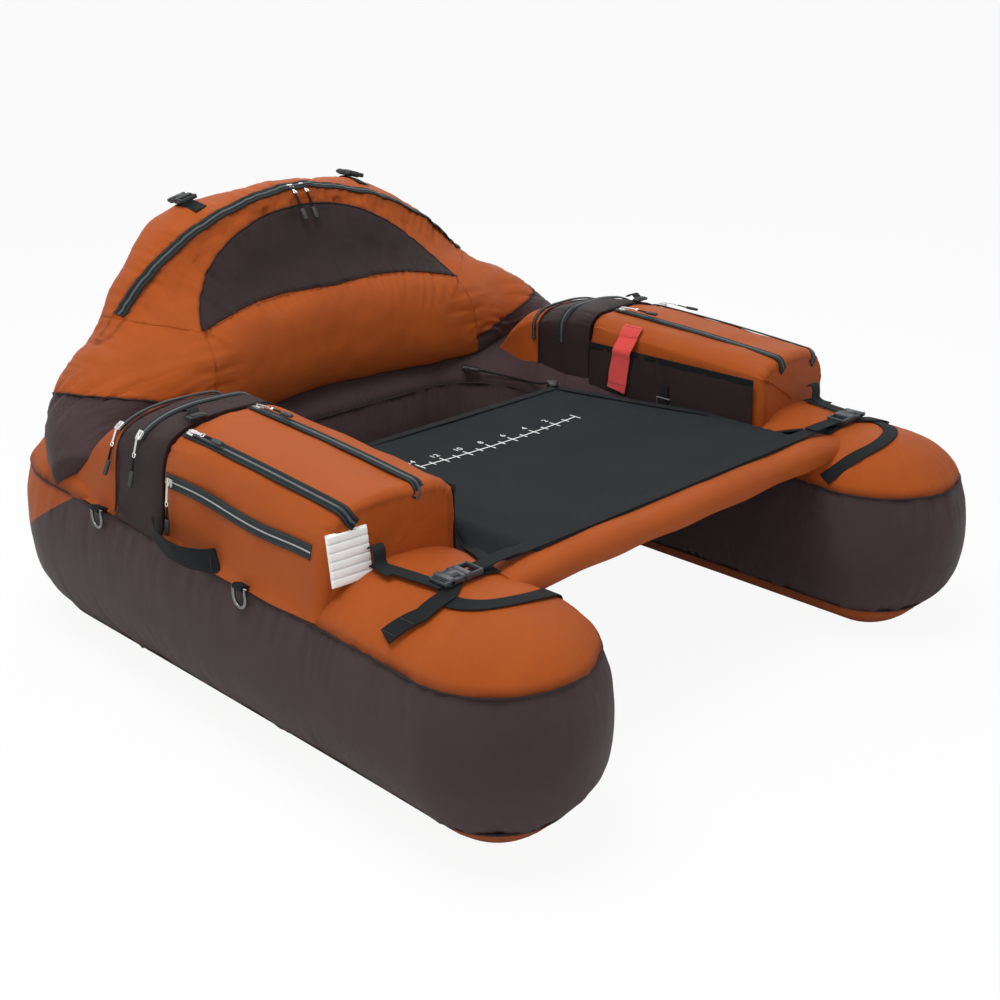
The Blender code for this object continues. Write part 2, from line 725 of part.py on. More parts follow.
def slider_body(path, length, half_body, half_pull):
    """A zip slider with its pull: a side profile in (along, up), as wide as the body or the pull."""
    half = length / 2
    body = [(-half, 0.0), (-half, SLIDER_HEIGHT), (-half / 2, SLIDER_HEIGHT)]
    upper, lower = [], []
    for before, here, after in zip(path[:1] + path[:-1], path, path[1:] + path[-1:]):
        heading = (Vector(after) - Vector(before)).normalized()
        sideways = Vector((-heading.y, heading.x)) * (PULL_WALL / 2)
        upper.append(Vector(here) + sideways)
        lower.append(Vector(here) - sideways)
    profile = [Vector(place) for place in body] + upper + lower[::-1] + [Vector((half, 0.0))]
    widths = [half_body] * len(body) + [half_pull] * (2 * len(path)) + [half_body]
    rings = []
    for sign in (-1, 1):
        rings.append([Vector((sign * width, place.x, place.y)) for place, width in zip(profile, widths)])
    return loft(rings)


def straight_pull(length, fall=0.0):
    """A pull that leaves the slider's top and lies just above the cloth."""
    rest = SLIDER_HEIGHT + PULL_WALL / 2
    half = SLIDER_LENGTH / 2
    return [(-half / 4, rest), (half, rest - fall / 4), (length / 2, rest - fall), (length, rest - fall)]


def place_slider(name, origin, along, normal, bm, finish=CHROME):
    """Seat a slider: its own length along one direction, its top along the normal."""
    across = along.cross(normal)
    turn = Matrix((across, along, normal)).transposed().to_4x4()
    return add_piece(name, moved(bm, origin, turn), finish, origin=origin)


def build_armrest(name, side, hull_space, wing_space):
    """The front pocket, the brown band, the rear pocket, their zips and the flat inner pocket."""
    front = POCKET_FRONT_Y
    rear = front + POCKET_LENGTH
    rings = [pocket_ring(side, front, -POCKET_EDGE, POCKET_FRONT_SWEEP)]
    rounding = POCKET_EDGE * POCKET_EDGE_SHARE
    rings.append(pocket_ring(side, front + rounding, -rounding, POCKET_FRONT_SWEEP))
    rings.append(pocket_ring(side, front + POCKET_EDGE, 0.0, POCKET_FRONT_SWEEP))
    rings.append(pocket_ring(side, rear - GAP))
    combine(add_piece("armrest_pocket_" + name, loft(rings), ORANGE), hull_space)

    band_end = rear + BAND_LENGTH
    full = (rear + BAND_SWELL, mix(rear, band_end, BAND_FULL_SHARE), band_end - BAND_SWELL)
    rings = [pocket_ring(side, rear, BAND_SWELL / 2)]
    rings += [pocket_ring(side, y, BAND_SWELL) for y in full]
    rings.append(pocket_ring(side, band_end - GAP, BAND_SWELL / 2))
    combine(add_piece("armrest_band_" + name, loft(rings), DEEP_BROWN), hull_space)

    back_end = band_end + REAR_POCKET_LENGTH
    rings = [pocket_ring(side, band_end, -REAR_POCKET_SHRINK)]
    last = pocket_ring(side, back_end, -REAR_POCKET_SHRINK * 2)
    keep = 1 - REAR_POCKET_DROP / POCKET_HEIGHT
    rings.append([Vector((p.x, p.y, mix(POCKET_FOOT_HEIGHT, p.z, keep))) for p in last])
    pocket = add_piece("armrest_rear_pocket_" + name, loft(rings), ORANGE)
    for cutter in (hull_space, wing_space):
        combine(pocket, cutter)

    zip_start = front + POCKET_EDGE + POCKET_FRONT_SWEEP
    zip_end = rear - ZIP_END_MARGIN
    for zip_name, facet in (("inner", INNER_ZIP_FACET), ("outer", OUTER_ZIP_FACET)):
        tape("top_zip_tape_%s_%s" % (zip_name, name), side, facet, zip_start, zip_end)
        seat, normal, along = pocket_top(facet, zip_end - SLIDER_LENGTH / 2, side)
        seat = seat + normal * (ZIP_TAPE_WALL + 2 * GAP)
        bm = slider_body(straight_pull(PULL_LENGTH), SLIDER_LENGTH, SLIDER_WIDTH / 2, PULL_WIDTH / 2)
        place_slider("top_zip_slider_%s_%s" % (zip_name, name), seat, -along, normal, bm)

    tape("side_zip_tape_" + name, side, SIDE_ZIP_FACET, zip_start, zip_end)
    seat, normal, along = pocket_top(SIDE_ZIP_FACET, zip_end - SLIDER_LENGTH / 2, side)
    seat = seat + normal * (ZIP_TAPE_WALL + 2 * GAP)
    down = normal.cross(along)
    if down.z > 0:
        down = -down
    bm = slider_body(straight_pull(PULL_LENGTH), SLIDER_WIDTH, SLIDER_LENGTH / 2, PULL_WIDTH / 2)
    place_slider("side_zip_slider_" + name, seat, down, normal, bm)

    middle_y = FLAT_POCKET_FRONT_Y + FLAT_POCKET_LENGTH / 2
    middle_z = FLAT_POCKET_FOOT + FLAT_POCKET_HEIGHT / 2
    place = (side * (POCKET_INNER_X - GAP - FLAT_POCKET_WALL / 2), middle_y, middle_z)
    flat = box(FLAT_POCKET_WALL, FLAT_POCKET_LENGTH, FLAT_POCKET_HEIGHT, FLAT_POCKET_EDGE)
    combine(add_piece("inner_pocket_" + name, moved(flat, place), DEEP_BROWN), hull_space)


def build_patch():
    """The pale fly patch on the front face of the right armrest, near its outer corner."""
    section = pocket_section(-POCKET_EDGE)
    low, high = section[11], section[9]
    x = (low.x + high.x) / 2 - PATCH_WIDTH / 2
    share = (x - POCKET_INNER_X) / POCKET_WIDTH
    y = POCKET_FRONT_Y + POCKET_FRONT_SWEEP * share
    z = POCKET_FOOT_HEIGHT + POCKET_HEIGHT / 2
    slope = math.atan2(POCKET_FRONT_SWEEP, POCKET_WIDTH)
    turn = Matrix.Rotation(-slope, 4, "Z")
    out = turn @ Vector((0, -1, 0))
    place = Vector((-x, y, z)) + out * (GAP + PATCH_WALL / 2)
    patch = box(PATCH_WIDTH, PATCH_WALL, PATCH_HEIGHT, PATCH_EDGE)
    add_piece("fly_patch", moved(patch, place, turn), PALE_FOAM)


def build_flag():
    """The coral webbing flag that hangs from the top of the left armrest over its inner pocket."""
    ring = pocket_ring(1, FLAG_REAR_Y - FLAG_WIDTH / 2)
    lie = GAP + WEBBING_WALL / 2
    face_x = POCKET_INNER_X - FLAT_POCKET_WALL - GAP - lie
    path = [ring[4] + Vector((FLAG_LAP, 0, FLAG_TOP_LIFT)), ring[3] + Vector((-lie, 0, FLAG_TOP_LIFT))]
    path.append(ring[2] + Vector((-FLAG_SIDE_LIFT, 0, lie)))
    path.append(Vector((face_x, ring[2].y, FLAT_POCKET_FOOT + FLAT_POCKET_HEIGHT + FLAG_TOP_LIFT)))
    path.append(Vector((face_x, ring[2].y, ring[3].z - FLAG_DROP)))
    along = pocket_top(INNER_ZIP_FACET, ring[4].y, 1)[2]
    ribbon("safety_flag", path, along, FLAG_WIDTH, WEBBING_WALL, CORAL)


def ribbon(name, path, sideways, width, wall, finish):
    """A flat strap along a path, as wide as the width along one direction, with real thickness."""
    rings = []
    for before, here, after in zip(path[:1] + path[:-1], path, path[1:] + path[-1:]):
        heading = (after - before).normalized()
        flat = (sideways - heading * heading.dot(sideways)).normalized()
        up = heading.cross(flat)
        corners = ((-1, -1), (1, -1), (1, 1), (-1, 1))
        rings.append([here + flat * (a * width / 2) + up * (b * wall / 2) for a, b in corners])
    return add_piece(name, loft(rings), finish)


def build_dome_zip():
    """The arched zip tape on the dome's ridge and its two sliders."""
    sine, cosine = math.sin(DOME_SEAT_TILT), math.cos(DOME_SEAT_TILT)
    rings = []
    for station in range(1, DOME_STATIONS):
        angle = mix(-DOME_SPAN, DOME_SPAN, station / DOME_STATIONS)
        if abs(angle) > ZIP_ARC_SPAN:
            continue
        ring = []
        for side, level in ((-1, 0), (1, 0), (1, 1), (-1, 1)):
            out = GAP + level * ZIP_TAPE_WALL
            across = side * ZIP_TAPE_WIDTH / 2
            radius = ARCH_RADIUS - across * sine + out * cosine
            ring.append(arch_place(angle, radius, across * cosine + out * sine))
        rings.append(ring)
    add_piece("dome_zip_tape", loft(rings), ZIP_BLUE_GREY)
    for name, side in SIDES:
        angle = side * DOME_SLIDER_ANGLE
        radial = arch_radial(angle)
        normal = radial * cosine + ARCH_FRONT * sine
        down = ARCH_FRONT * cosine - radial * sine
        seat = arch_place(angle, ARCH_RADIUS, 0) + normal * (ZIP_TAPE_WALL + DOME_ROOM)
        rest = SLIDER_HEIGHT + PULL_WALL / 2
        edge = ZIP_SEAT_WIDTH / 2
        turn = math.pi / 2 - DOME_SEAT_TILT - DOME_PULL_LEAN
        path = [(-SLIDER_WIDTH / 8, rest), (edge / 2, rest), (edge, rest - PULL_WALL)]
        start = Vector((edge + DOME_PULL_STEP, rest - DOME_PULL_FALL))
        path.append(tuple(start))
        path.append(tuple(start + DOME_PULL_LENGTH * Vector((math.cos(turn), -math.sin(turn)))))
        bm = slider_body(path, SLIDER_WIDTH, SLIDER_LENGTH / 2, PULL_WIDTH / 2)
        across = down.cross(normal)
        matrix = Matrix((across, down, normal)).transposed().to_4x4()
        add_piece("dome_zip_slider_" + name, moved(bm, seat, matrix), CHROME, origin=ARCH_CENTRE)


def build_dome_straps():
    """Two compression straps over the dome's back, each with a side-release buckle behind the zip."""
    section = dome_section(GAP + WEBBING_WALL / 2)
    back = [section[-1]] + section[-2:-2 - DOME_STRAP_STEPS:-1]
    over = dome_section(WEBBING_WALL + 2 * GAP)
    for name, side in SIDES:
        angle = side * DOME_STRAP_ANGLE
        path = [arch_place(angle, ARCH_RADIUS - drop, depth) for drop, depth in back]
        path[0] = path[0].lerp(path[1], STRAP_WIDTH / 4 / (path[1] - path[0]).length)
        tangent = Vector((math.cos(angle), 0, 0)) - math.sin(angle) * ARCH_UP
        ribbon("dome_strap_" + name, path, tangent, STRAP_WIDTH, WEBBING_WALL, BLACK_WEBBING)
        start = arch_place(angle, ARCH_RADIUS - over[-1].x, over[-1].y)
        end = arch_place(angle, ARCH_RADIUS - over[-2].x, over[-2].y)
        run = (end - start).normalized()
        normal = tangent.cross(run)
        if normal.dot(arch_radial(angle)) < 0:
            normal = -normal
        matrix = Matrix((tangent, run, tangent.cross(run))).transposed().to_4x4()
        middle = start + run * (STRAP_WIDTH / 4 + DOME_BUCKLE_LENGTH / 2) + normal * (BUCKLE_HEIGHT / 2)
        bm = box(BUCKLE_WIDTH, DOME_BUCKLE_LENGTH, BUCKLE_HEIGHT, BUCKLE_EDGE)
        add_piece("dome_buckle_" + name, moved(bm, middle, matrix), BLACK_PLASTIC)


def ring_axis(side, y):
    """Where a D-ring's straight bar lies, beside the top seam."""
    return Vector((side * (HALF_WIDTH - SEAM_INSET + RING_STAND_OFF), y, seam_height(y) + RING_STAND_OFF / 2))


def build_ring(name, side, y):
    """A D-ring that hangs from its webbing tab at the outer top seam."""
    axis = ring_axis(side, y)
    half = (RING_WIDTH - RING_WIRE) / 2
    straight = RING_DROP - half
    points = [Vector((0, -half, 0)), Vector((0, half, 0)), Vector((0, half, -straight))]
    for step in range(1, RING_STEPS):
        angle = math.pi * step / RING_STEPS
        points.append(Vector((0, half * math.cos(angle), -straight - half * math.sin(angle))))
    points.append(Vector((0, -half, -straight)))
    path = bpy.data.curves.new(name, "CURVE")
    path.dimensions = "3D"
    path.bevel_depth = RING_WIRE / 2
    path.bevel_resolution = 2
    spline = path.splines.new("POLY")
    spline.points.add(len(points) - 1)
    for place, point in zip(spline.points, points):
        place.co = (*point, 1)
    spline.use_cyclic_u = True
    path.materials.append(material(name, *RING_STEEL))
    ring = bpy.data.objects.new(name, path)
    ring.location = axis
    bpy.context.collection.objects.link(ring)


def build_tab(name, side, y, hull_space):
    """The webbing tab that is folded round a D-ring's bar and sewn into the seam."""
    axis = ring_axis(side, y)
    bore = RING_WIRE / 2 + 2 * GAP
    outer = bore + TAB_WALL
    rings = []
    for end in (-1, 1):
        ring = []
        for step in range(TAB_SIDES):
            turn = math.tau * step / TAB_SIDES
            point = Vector((outer * math.cos(turn), end * TAB_WIDTH / 2, outer * math.sin(turn)))
            if math.cos(turn) < 0:
                point.x -= TAB_REACH
            ring.append(Vector((side * point.x, point.y, point.z)) + axis)
        rings.append(ring)
    tab = add_piece(name, loft(rings), BLACK_WEBBING)
    hole = bmesh.new()
    bmesh.ops.create_cone(
        hole, cap_ends=True, segments=TAB_SIDES, radius1=bore, radius2=bore, depth=TAB_WIDTH + OVERRUN)
    hole = moved(hole, axis, Matrix.Rotation(math.pi / 2, 4, "X"))
    combine(tab, add_cutter(name + "_bore", hole))
    combine(tab, hull_space)


def build_handle(name, side):
    """The webbing carry handle along the outer top seam."""
    path = []
    for step in range(HANDLE_STEPS + 1):
        share = step / HANDLE_STEPS
        y = HANDLE_FRONT_Y + HANDLE_LENGTH * share
        arch = max(0.0, math.sin(math.pi * share)) ** HANDLE_ARCH_POWER
        x = HALF_WIDTH - SEAM_INSET + 2 * WEBBING_WALL + HANDLE_REACH * arch
        path.append(Vector((side * x, y, seam_height(y) + HANDLE_WIDTH / 2 - HANDLE_SAG * arch)))
    ribbon("carry_handle_" + name, path, Vector((0, 0, 1)), HANDLE_WIDTH, WEBBING_WALL, BLACK_WEBBING)


# Heights in front of the sitter, from the pontoon's crown up through strap, buckle and webbing
FRONT_WEBBING_Y = APRON_FRONT_Y + APRON_WEBBING_WIDTH / 2
STRAP_REAR_Y = FRONT_WEBBING_Y + STRAP_WIDTH / 2
STRAP_TOP = crown_height(STRAP_REAR_Y, 0) + 2 * GAP + WEBBING_WALL
BUCKLE_LEVEL = STRAP_TOP + GAP + BUCKLE_HEIGHT / 2 - WEBBING_WALL
APRON_LEVEL = BUCKLE_LEVEL - WEBBING_WALL / 2 - GAP


def build_apron():
    """The lap apron with its ruler side up, and the webbing along its front edge."""
    def place(across, along):
        width = mix(APRON_FRONT_WIDTH, APRON_REAR_WIDTH, along)
        sag = APRON_SAG * math.sin(math.pi * across) * math.sin(math.pi * along)
        return (width * (across - 0.5), mix(APRON_FRONT_Y, APRON_REAR_Y, along), APRON_LEVEL - sag)
    apron = add_piece("apron_panel", facing(sheet(APRON_COLUMNS, APRON_ROWS, place), (0, 0, 1)), CHARCOAL)
    thicken(apron, CLOTH_WALL)
    half = APRON_WEBBING_SPAN / 2
    path = [Vector((x, FRONT_WEBBING_Y, BUCKLE_LEVEL)) for x in (-half, half)]
    ribbon("apron_webbing", path, Vector((0, 1, 0)), APRON_WEBBING_WIDTH, WEBBING_WALL, BLACK_WEBBING)


def build_spreader(hull_space):
    """The padded sleeve between the pontoon tips and the bar inside it."""
    level = APRON_LEVEL - CLOTH_WALL - GAP - SPREADER_HEIGHT / 2
    rings = []
    half = SPREADER_SPAN / 2
    for x in (-half, half):
        ring = []
        for step in range(SPREADER_SIDES):
            turn = math.tau * step / SPREADER_SIDES
            across, up = superellipse(turn, SPREADER_WIDTH / 2, SPREADER_HEIGHT / 2, SPREADER_POWER)
            ring.append(Vector((x, SPREADER_Y + across, level + up)))
        rings.append(ring)
    sleeve = add_piece("spreader_sleeve", loft(rings), ORANGE)
    combine(sleeve, hull_space)
    turn = Matrix.Rotation(math.pi / 2, 4, "Y")
    bore = bmesh.new()
    radius = SPREADER_BAR_DIAMETER / 2
    bmesh.ops.create_cone(bore, cap_ends=True, segments=SPREADER_BAR_SIDES, radius1=radius + GAP,
                          radius2=radius + GAP, depth=SPREADER_SPAN)
    combine(sleeve, add_cutter("spreader_bore", moved(bore, (0, SPREADER_Y, level), turn)))
    bar = bmesh.new()
    bmesh.ops.create_cone(bar, cap_ends=True, segments=SPREADER_BAR_SIDES, radius1=radius, radius2=radius,
                          depth=SPREADER_BAR_SPAN)
    add_piece("spreader_bar", moved(bar, (0, SPREADER_Y, level), turn), BAR_ALUMINIUM)


def build_tip_strap(name, side):
    """The webbing over a pontoon's crown that carries the front buckle and ends in a free tail."""
    reach = PONTOON_RADIUS - SEAM_INSET
    ground = [Vector((share * reach, crown_height(STRAP_REAR_Y, abs(share)))) for share in TIP_STRAP_STOPS]
    lie = 2 * GAP + WEBBING_WALL / 2
    path = []
    for before, here, after in zip(ground[:1] + ground[:-1], ground, ground[1:] + ground[-1:]):
        heading = (after - before).normalized()
        place = here + lie * Vector((-heading.y, heading.x))
        path.append(Vector((side * (RIDGE_X + place.x), FRONT_WEBBING_Y, place.y)))
    ribbon("tip_strap_" + name, path, Vector((0, 1, 0)), STRAP_WIDTH, WEBBING_WALL, BLACK_WEBBING)


def build_front_buckle(name, side):
    """A side-release buckle: the socket on the tip strap and the plug on the apron's webbing."""
    y = FRONT_WEBBING_Y
    mouth = side * RIDGE_X
    level = BUCKLE_LEVEL + WEBBING_WALL
    socket = moved(box(BUCKLE_LENGTH, BUCKLE_WIDTH, BUCKLE_HEIGHT, BUCKLE_EDGE),
                   (mouth + side * BUCKLE_LENGTH / 2, y, level))
    socket = add_piece("front_buckle_socket_" + name, socket, BLACK_PLASTIC)
    room = box(PRONG_LENGTH * 2 + OVERRUN, 2 * (PRONG_SPREAD + PRONG_WIDTH / 2 + GAP), PRONG_HEIGHT + 2 * GAP)
    combine(socket, add_cutter("prong_room_" + name, moved(room, (mouth, y, level))))

    body_x = mouth - side * (GAP + PLUG_LENGTH / 2)
    plug = moved(box(PLUG_LENGTH, BUCKLE_WIDTH, BUCKLE_HEIGHT, BUCKLE_EDGE), (body_x, y, level))
    plug = add_piece("front_buckle_plug_" + name, plug, BLACK_PLASTIC, origin=(mouth, y, level))
    for sign in (-1, 1):
        length = PRONG_LENGTH + BUCKLE_EDGE * 2
        prong = box(length, PRONG_WIDTH, PRONG_HEIGHT)
        place = (mouth + side * (PRONG_LENGTH - length / 2), y + sign * PRONG_SPREAD, level)
        combine(plug, add_cutter("prong_%s_%d" % (name, sign), moved(prong, place)), "UNION")
    slot = box(PLUG_LENGTH, APRON_WEBBING_WIDTH + 2 * GAP, WEBBING_WALL + 4 * GAP)
    place = (body_x - side * BAR_SLOT_LENGTH, y, BUCKLE_LEVEL)
    combine(plug, add_cutter("webbing_slot_" + name, moved(slot, place)))


def seat_half_width(y):
    """Room between the hull's inner walls, which turn in towards the rear."""
    turn = max(0.0, y - (INNER_REAR_Y - INNER_CORNER_RADIUS))
    corner = math.sqrt(INNER_CORNER_RADIUS ** 2 - turn ** 2)
    return INNER_X - INNER_CORNER_RADIUS + corner - SEAT_EDGE_ROOM


def build_seat():
    """The cloth sling that the sitter sits in, hung between the hull's inner walls."""
    def place(across, along):
        y = INNER_REAR_Y - SEAT_REAR_GAP - SEAT_LENGTH * (1 - along)
        sag = SEAT_SAG * (1 - abs(2 * across - 1) ** SEAT_SAG_POWER)
        return (seat_half_width(y) * (2 * across - 1), y, SEAT_HEM_HEIGHT - sag + SEAT_REAR_RISE * along)
    sling = add_piece("seat_sling", facing(sheet(SEAT_COLUMNS, SEAT_ROWS, place), (0, 0, 1)), DEEP_BROWN)
    thicken(sling, CLOTH_WALL)


def build_all():
    """Every sub-part, from the hull upwards."""
    hull_space = build_hull()
    wing_spaces = build_backrest(hull_space)
    build_dome_zip()
    build_dome_straps()
    for name, side in SIDES:
        build_armrest(name, side, hull_space, wing_spaces[name])
        for end, y in (("front", RING_FRONT_Y), ("rear", RING_REAR_Y)):
            build_ring("d_ring_%s_%s" % (end, name), side, y)
            build_tab("d_ring_tab_%s_%s" % (end, name), side, y, hull_space)
        build_handle(name, side)
        build_tip_strap(name, side)
        build_front_buckle(name, side)
    build_patch()
    build_flag()
    build_apron()
    build_spreader(hull_space)
    build_seat()


build_all()
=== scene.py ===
# %% [markdown]
# # A float tube, piece by piece
# A float tube is a U-shaped inflated boat for one angler: an orange and brown cover over a bladder,
# a padded backrest with a storage dome, a zipped pocket on each armrest and a lap apron.
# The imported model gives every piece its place, and each cell here adds one piece or one finish.

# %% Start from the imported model
import math

import bmesh
import bpy
import numpy as np
from mathutils import Matrix, Vector, noise
from mathutils.bvhtree import BVHTree


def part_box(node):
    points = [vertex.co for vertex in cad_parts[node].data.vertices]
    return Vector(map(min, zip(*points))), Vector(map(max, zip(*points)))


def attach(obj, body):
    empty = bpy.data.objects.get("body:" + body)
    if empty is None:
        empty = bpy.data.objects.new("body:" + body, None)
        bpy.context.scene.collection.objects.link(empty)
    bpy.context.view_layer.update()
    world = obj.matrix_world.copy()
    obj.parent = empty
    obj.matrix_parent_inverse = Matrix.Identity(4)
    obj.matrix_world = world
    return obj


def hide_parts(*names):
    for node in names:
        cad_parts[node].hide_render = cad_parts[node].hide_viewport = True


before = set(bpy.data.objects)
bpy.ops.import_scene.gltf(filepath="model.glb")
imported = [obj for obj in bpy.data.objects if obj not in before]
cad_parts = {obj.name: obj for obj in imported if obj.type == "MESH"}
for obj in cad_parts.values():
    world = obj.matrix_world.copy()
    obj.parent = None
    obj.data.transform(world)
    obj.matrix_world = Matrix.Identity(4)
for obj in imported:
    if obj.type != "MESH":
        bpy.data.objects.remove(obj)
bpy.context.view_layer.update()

# %% [markdown]
# ## Camera, floor and light
# The picture is taken from in front of the right tip, from higher than the backrest.
# A pale floor shows white to the camera and still takes a soft shadow, and large soft lamps
# stand in for a studio's light boxes, because glossy nylon shows every small lamp as a hard dot.

# %% Camera
CAMERA_PLACE = (-1.55971, -1.66013, 1.09166)
CAMERA_PITCH, CAMERA_ROLL, CAMERA_HEADING = 90 - 21.44, 0.65, -44.50
CAMERA_LENS, SENSOR = 50.84, 36.0


def link(name, data):
    """Put new data into the scene as an object."""
    made = bpy.data.objects.new(name, data)
    bpy.context.scene.collection.objects.link(made)
    return made


camera = link("camera", bpy.data.cameras.new("camera"))
camera.location = CAMERA_PLACE
camera.rotation_euler = [math.radians(turn) for turn in (CAMERA_PITCH, CAMERA_ROLL, CAMERA_HEADING)]
camera.data.lens, camera.data.sensor_width = CAMERA_LENS, SENSOR
bpy.context.scene.camera = camera


# %% Tools for shader nodes
def feed(tree, entry, value):
    """Give a socket its own value, or wire another node's output into it."""
    if isinstance(value, bpy.types.NodeSocket):
        tree.links.new(value, entry)
    else:
        entry.default_value = value


def node(tree, kind, inputs=None, **settings):
    """A new node with its settings, its inputs given as values or as other nodes' outputs."""
    made = tree.nodes.new(kind)
    for key, value in settings.items():
        setattr(made, key, value)
    for key, value in (inputs or {}).items():
        feed(tree, made.inputs[key], value)
    return made


def maths(tree, operation, first, second):
    return node(tree, "ShaderNodeMath", {0: first, 1: second}, operation=operation).outputs[0]


def new_material(name):
    """A material with its node tree and its shader."""
    surface = bpy.data.materials.new(name)
    surface.use_nodes = True
    return surface, surface.node_tree, surface.node_tree.nodes["Principled BSDF"]


# %% Floor, world and lamps
FLOOR_SIZE, FLOOR_GLOW_SHARE = 240.0, 0.92
FLOOR_SOCKETS = {"Base Color": (0.86, 0.86, 0.86, 1), "Roughness": 0.9, "Specular IOR Level": 0.1}
WORLD_STRENGTH, WHITE = 0.40, (1, 1, 1, 1)


def floor_material():
    """Pale plaster that glows to the camera alone, so it shows white under a soft shadow."""
    surface, tree, shader = new_material("pale_floor")
    coords = node(tree, "ShaderNodeTexCoord")
    grain = node(tree, "ShaderNodeTexNoise", {"Scale": 40, "Vector": coords.outputs["Object"]})
    bump = node(tree, "ShaderNodeBump", {"Strength": 0.02, "Height": grain.outputs["Fac"]})
    for entry, value in {**FLOOR_SOCKETS, "Normal": bump.outputs["Normal"]}.items():
        feed(tree, shader.inputs[entry], value)
    path = node(tree, "ShaderNodeLightPath")
    share = maths(tree, "MULTIPLY", path.outputs["Is Camera Ray"], FLOOR_GLOW_SHARE)
    glow = node(tree, "ShaderNodeEmission")
    mixed = node(tree, "ShaderNodeMixShader", {"Fac": share, 1: shader.outputs["BSDF"], 2: glow.outputs["Emission"]})
    feed(tree, tree.nodes["Material Output"].inputs["Surface"], mixed.outputs["Shader"])
    return surface


floor_mesh = bmesh.new()
bmesh.ops.create_grid(floor_mesh, x_segments=4, y_segments=4, size=FLOOR_SIZE / 2)
floor_data = bpy.data.meshes.new("floor")
floor_mesh.to_mesh(floor_data)
floor_mesh.free()
floor_data.materials.append(floor_material())
link("floor", floor_data)

world = bpy.data.worlds.new("studio")
world.use_nodes = True
bpy.context.scene.world = world
sky = world.node_tree
backdrop = sky.nodes["Background"]
for entry, value in (("Strength", WORLD_STRENGTH), ("Color", WHITE)):
    feed(sky, backdrop.inputs[entry], value)
seen = node(sky, "ShaderNodeBackground", {"Strength": 1.0, "Color": WHITE})
ray = node(sky, "ShaderNodeLightPath")
shown = maths(sky, "MAXIMUM", ray.outputs["Is Camera Ray"], ray.outputs["Is Glossy Ray"])
either = node(sky, "ShaderNodeMixShader",
              {"Fac": shown, 1: backdrop.outputs["Background"], 2: seen.outputs["Background"]})
feed(sky, sky.nodes["World Output"].inputs["Surface"], either.outputs["Shader"])

LAMPS = (
    ("key", (-0.9, -0.1, 3.3), 2.0, 76.0),
    ("rim", (1.6, 2.0, 2.4), 1.6, 16.0),
    ("fill", (-1.9, -2.6, 1.5), 1.6, 19.0),
)
AIM = Vector((0, 0, 0.25))
for name, place, size, power in LAMPS:
    data = bpy.data.lights.new(name, "AREA")
    data.shape, data.size, data.energy = "DISK", size, power
    lamp = link(name, data)
    lamp.location = place
    lamp.rotation_euler = (AIM - Vector(place)).to_track_quat("-Z", "Y").to_euler()
bpy.context.scene.view_settings.view_transform = "Standard"
print("camera, floor and", len(LAMPS), "lamps are in place")

# %% [markdown]
# ## Finishes
# Every cloth here is woven, so one node group makes the weave and the small creases for all of
# them. It puts out a shade mask and a height, and each material gives it its own thread and depth.
# Buckles are moulded plastic with a fine grain, and sliders are plated metal with smudges.
# Both use a second group, of small noise, for grain and smudges.
# Colours are then mixed between a dark and a light tone by that mask, which keeps large panels from looking flat.
# On cloth the mask follows mostly the creases that also make the bump, so their hollows carry painted shade, and slubs
# and weave give the cloth's own uneven tone; on hard parts the mask is real smudges.

# %% Shared effects as node groups
def effect_group(name, vectors, amounts, masks):
    """An empty group with its named sockets: its inputs' outputs inside, and its output node."""
    group = bpy.data.node_groups.new(name, "ShaderNodeTree")
    for label in vectors:
        group.interface.new_socket(name=label, in_out="INPUT", socket_type="NodeSocketVector")
    for label, value in amounts.items():
        made = group.interface.new_socket(name=label, in_out="INPUT", socket_type="NodeSocketFloat")
        made.default_value = value
    for label in masks:
        group.interface.new_socket(name=label, in_out="OUTPUT", socket_type="NodeSocketFloat")
    return group, node(group, "NodeGroupInput").outputs, node(group, "NodeGroupOutput").inputs


def woven_group():
    """Plain weave, soft creases and slubs: a shade mask from 0 to 1, which puts painted shade in the crease hollows,
    and a height.
    """
    amounts = {"Thread Scale": 600.0, "Weave Depth": 0.3, "Crease Scale": 9.0, "Crease Depth": 0.5}
    group, enter, leave = effect_group("woven_cloth", ("Weave Vector", "Crease Vector"), amounts, ("Shade", "Height"))
    bands = {"Distortion": 0.6, "Detail": 0, "Vector": enter["Weave Vector"], "Scale": enter["Thread Scale"]}
    warp, weft = (node(group, "ShaderNodeTexWave", bands, wave_type="BANDS", bands_direction=way).outputs["Fac"]
                  for way in "XY")
    weave = maths(group, "MULTIPLY", warp, weft)
    folds = {"Detail": 3, "Distortion": 1.2, "Vector": enter["Crease Vector"], "Scale": enter["Crease Scale"]}
    crease = node(group, "ShaderNodeTexNoise", folds).outputs["Fac"]
    slub = node(group, "ShaderNodeTexNoise", {"Scale": 160, "Vector": enter["Crease Vector"]}).outputs["Fac"]
    # The crease noise also makes the bump, so its share of the mask is painted shade in the crease hollows; slub and
    # weave are the cloth's own tone.
    low, mid, fine = (maths(group, "MULTIPLY", mask, share)
                      for mask, share in ((crease, 0.7), (slub, 0.2), (weave, 0.1)))
    feed(group, leave["Shade"], maths(group, "ADD", maths(group, "ADD", low, mid), fine))
    deep = maths(group, "MULTIPLY", weave, enter["Weave Depth"])
    wide = maths(group, "MULTIPLY", crease, enter["Crease Depth"])
    feed(group, leave["Height"], maths(group, "ADD", deep, wide))
    return group


def grain_group():
    """Fine grain as a height and wider smudges as a mask."""
    amounts = {"Grain Scale": 900.0, "Smudge Scale": 60.0}
    group, enter, leave = effect_group("fine_grain", ("Vector",), amounts, ("Smudge", "Height"))
    for scale, target in (("Grain Scale", "Height"), ("Smudge Scale", "Smudge")):
        cloud = node(group, "ShaderNodeTexNoise", {"Detail": 2, "Vector": enter["Vector"], "Scale": enter[scale]})
        feed(group, leave[target], cloud.outputs["Fac"])
    return group


WOVEN, GRAIN = woven_group(), grain_group()

# %% How a finish is put together
# How dark the painted shade beside seams gets, as a share of the dark tone.
SEAM_PAINTED_SHADE = 0.45


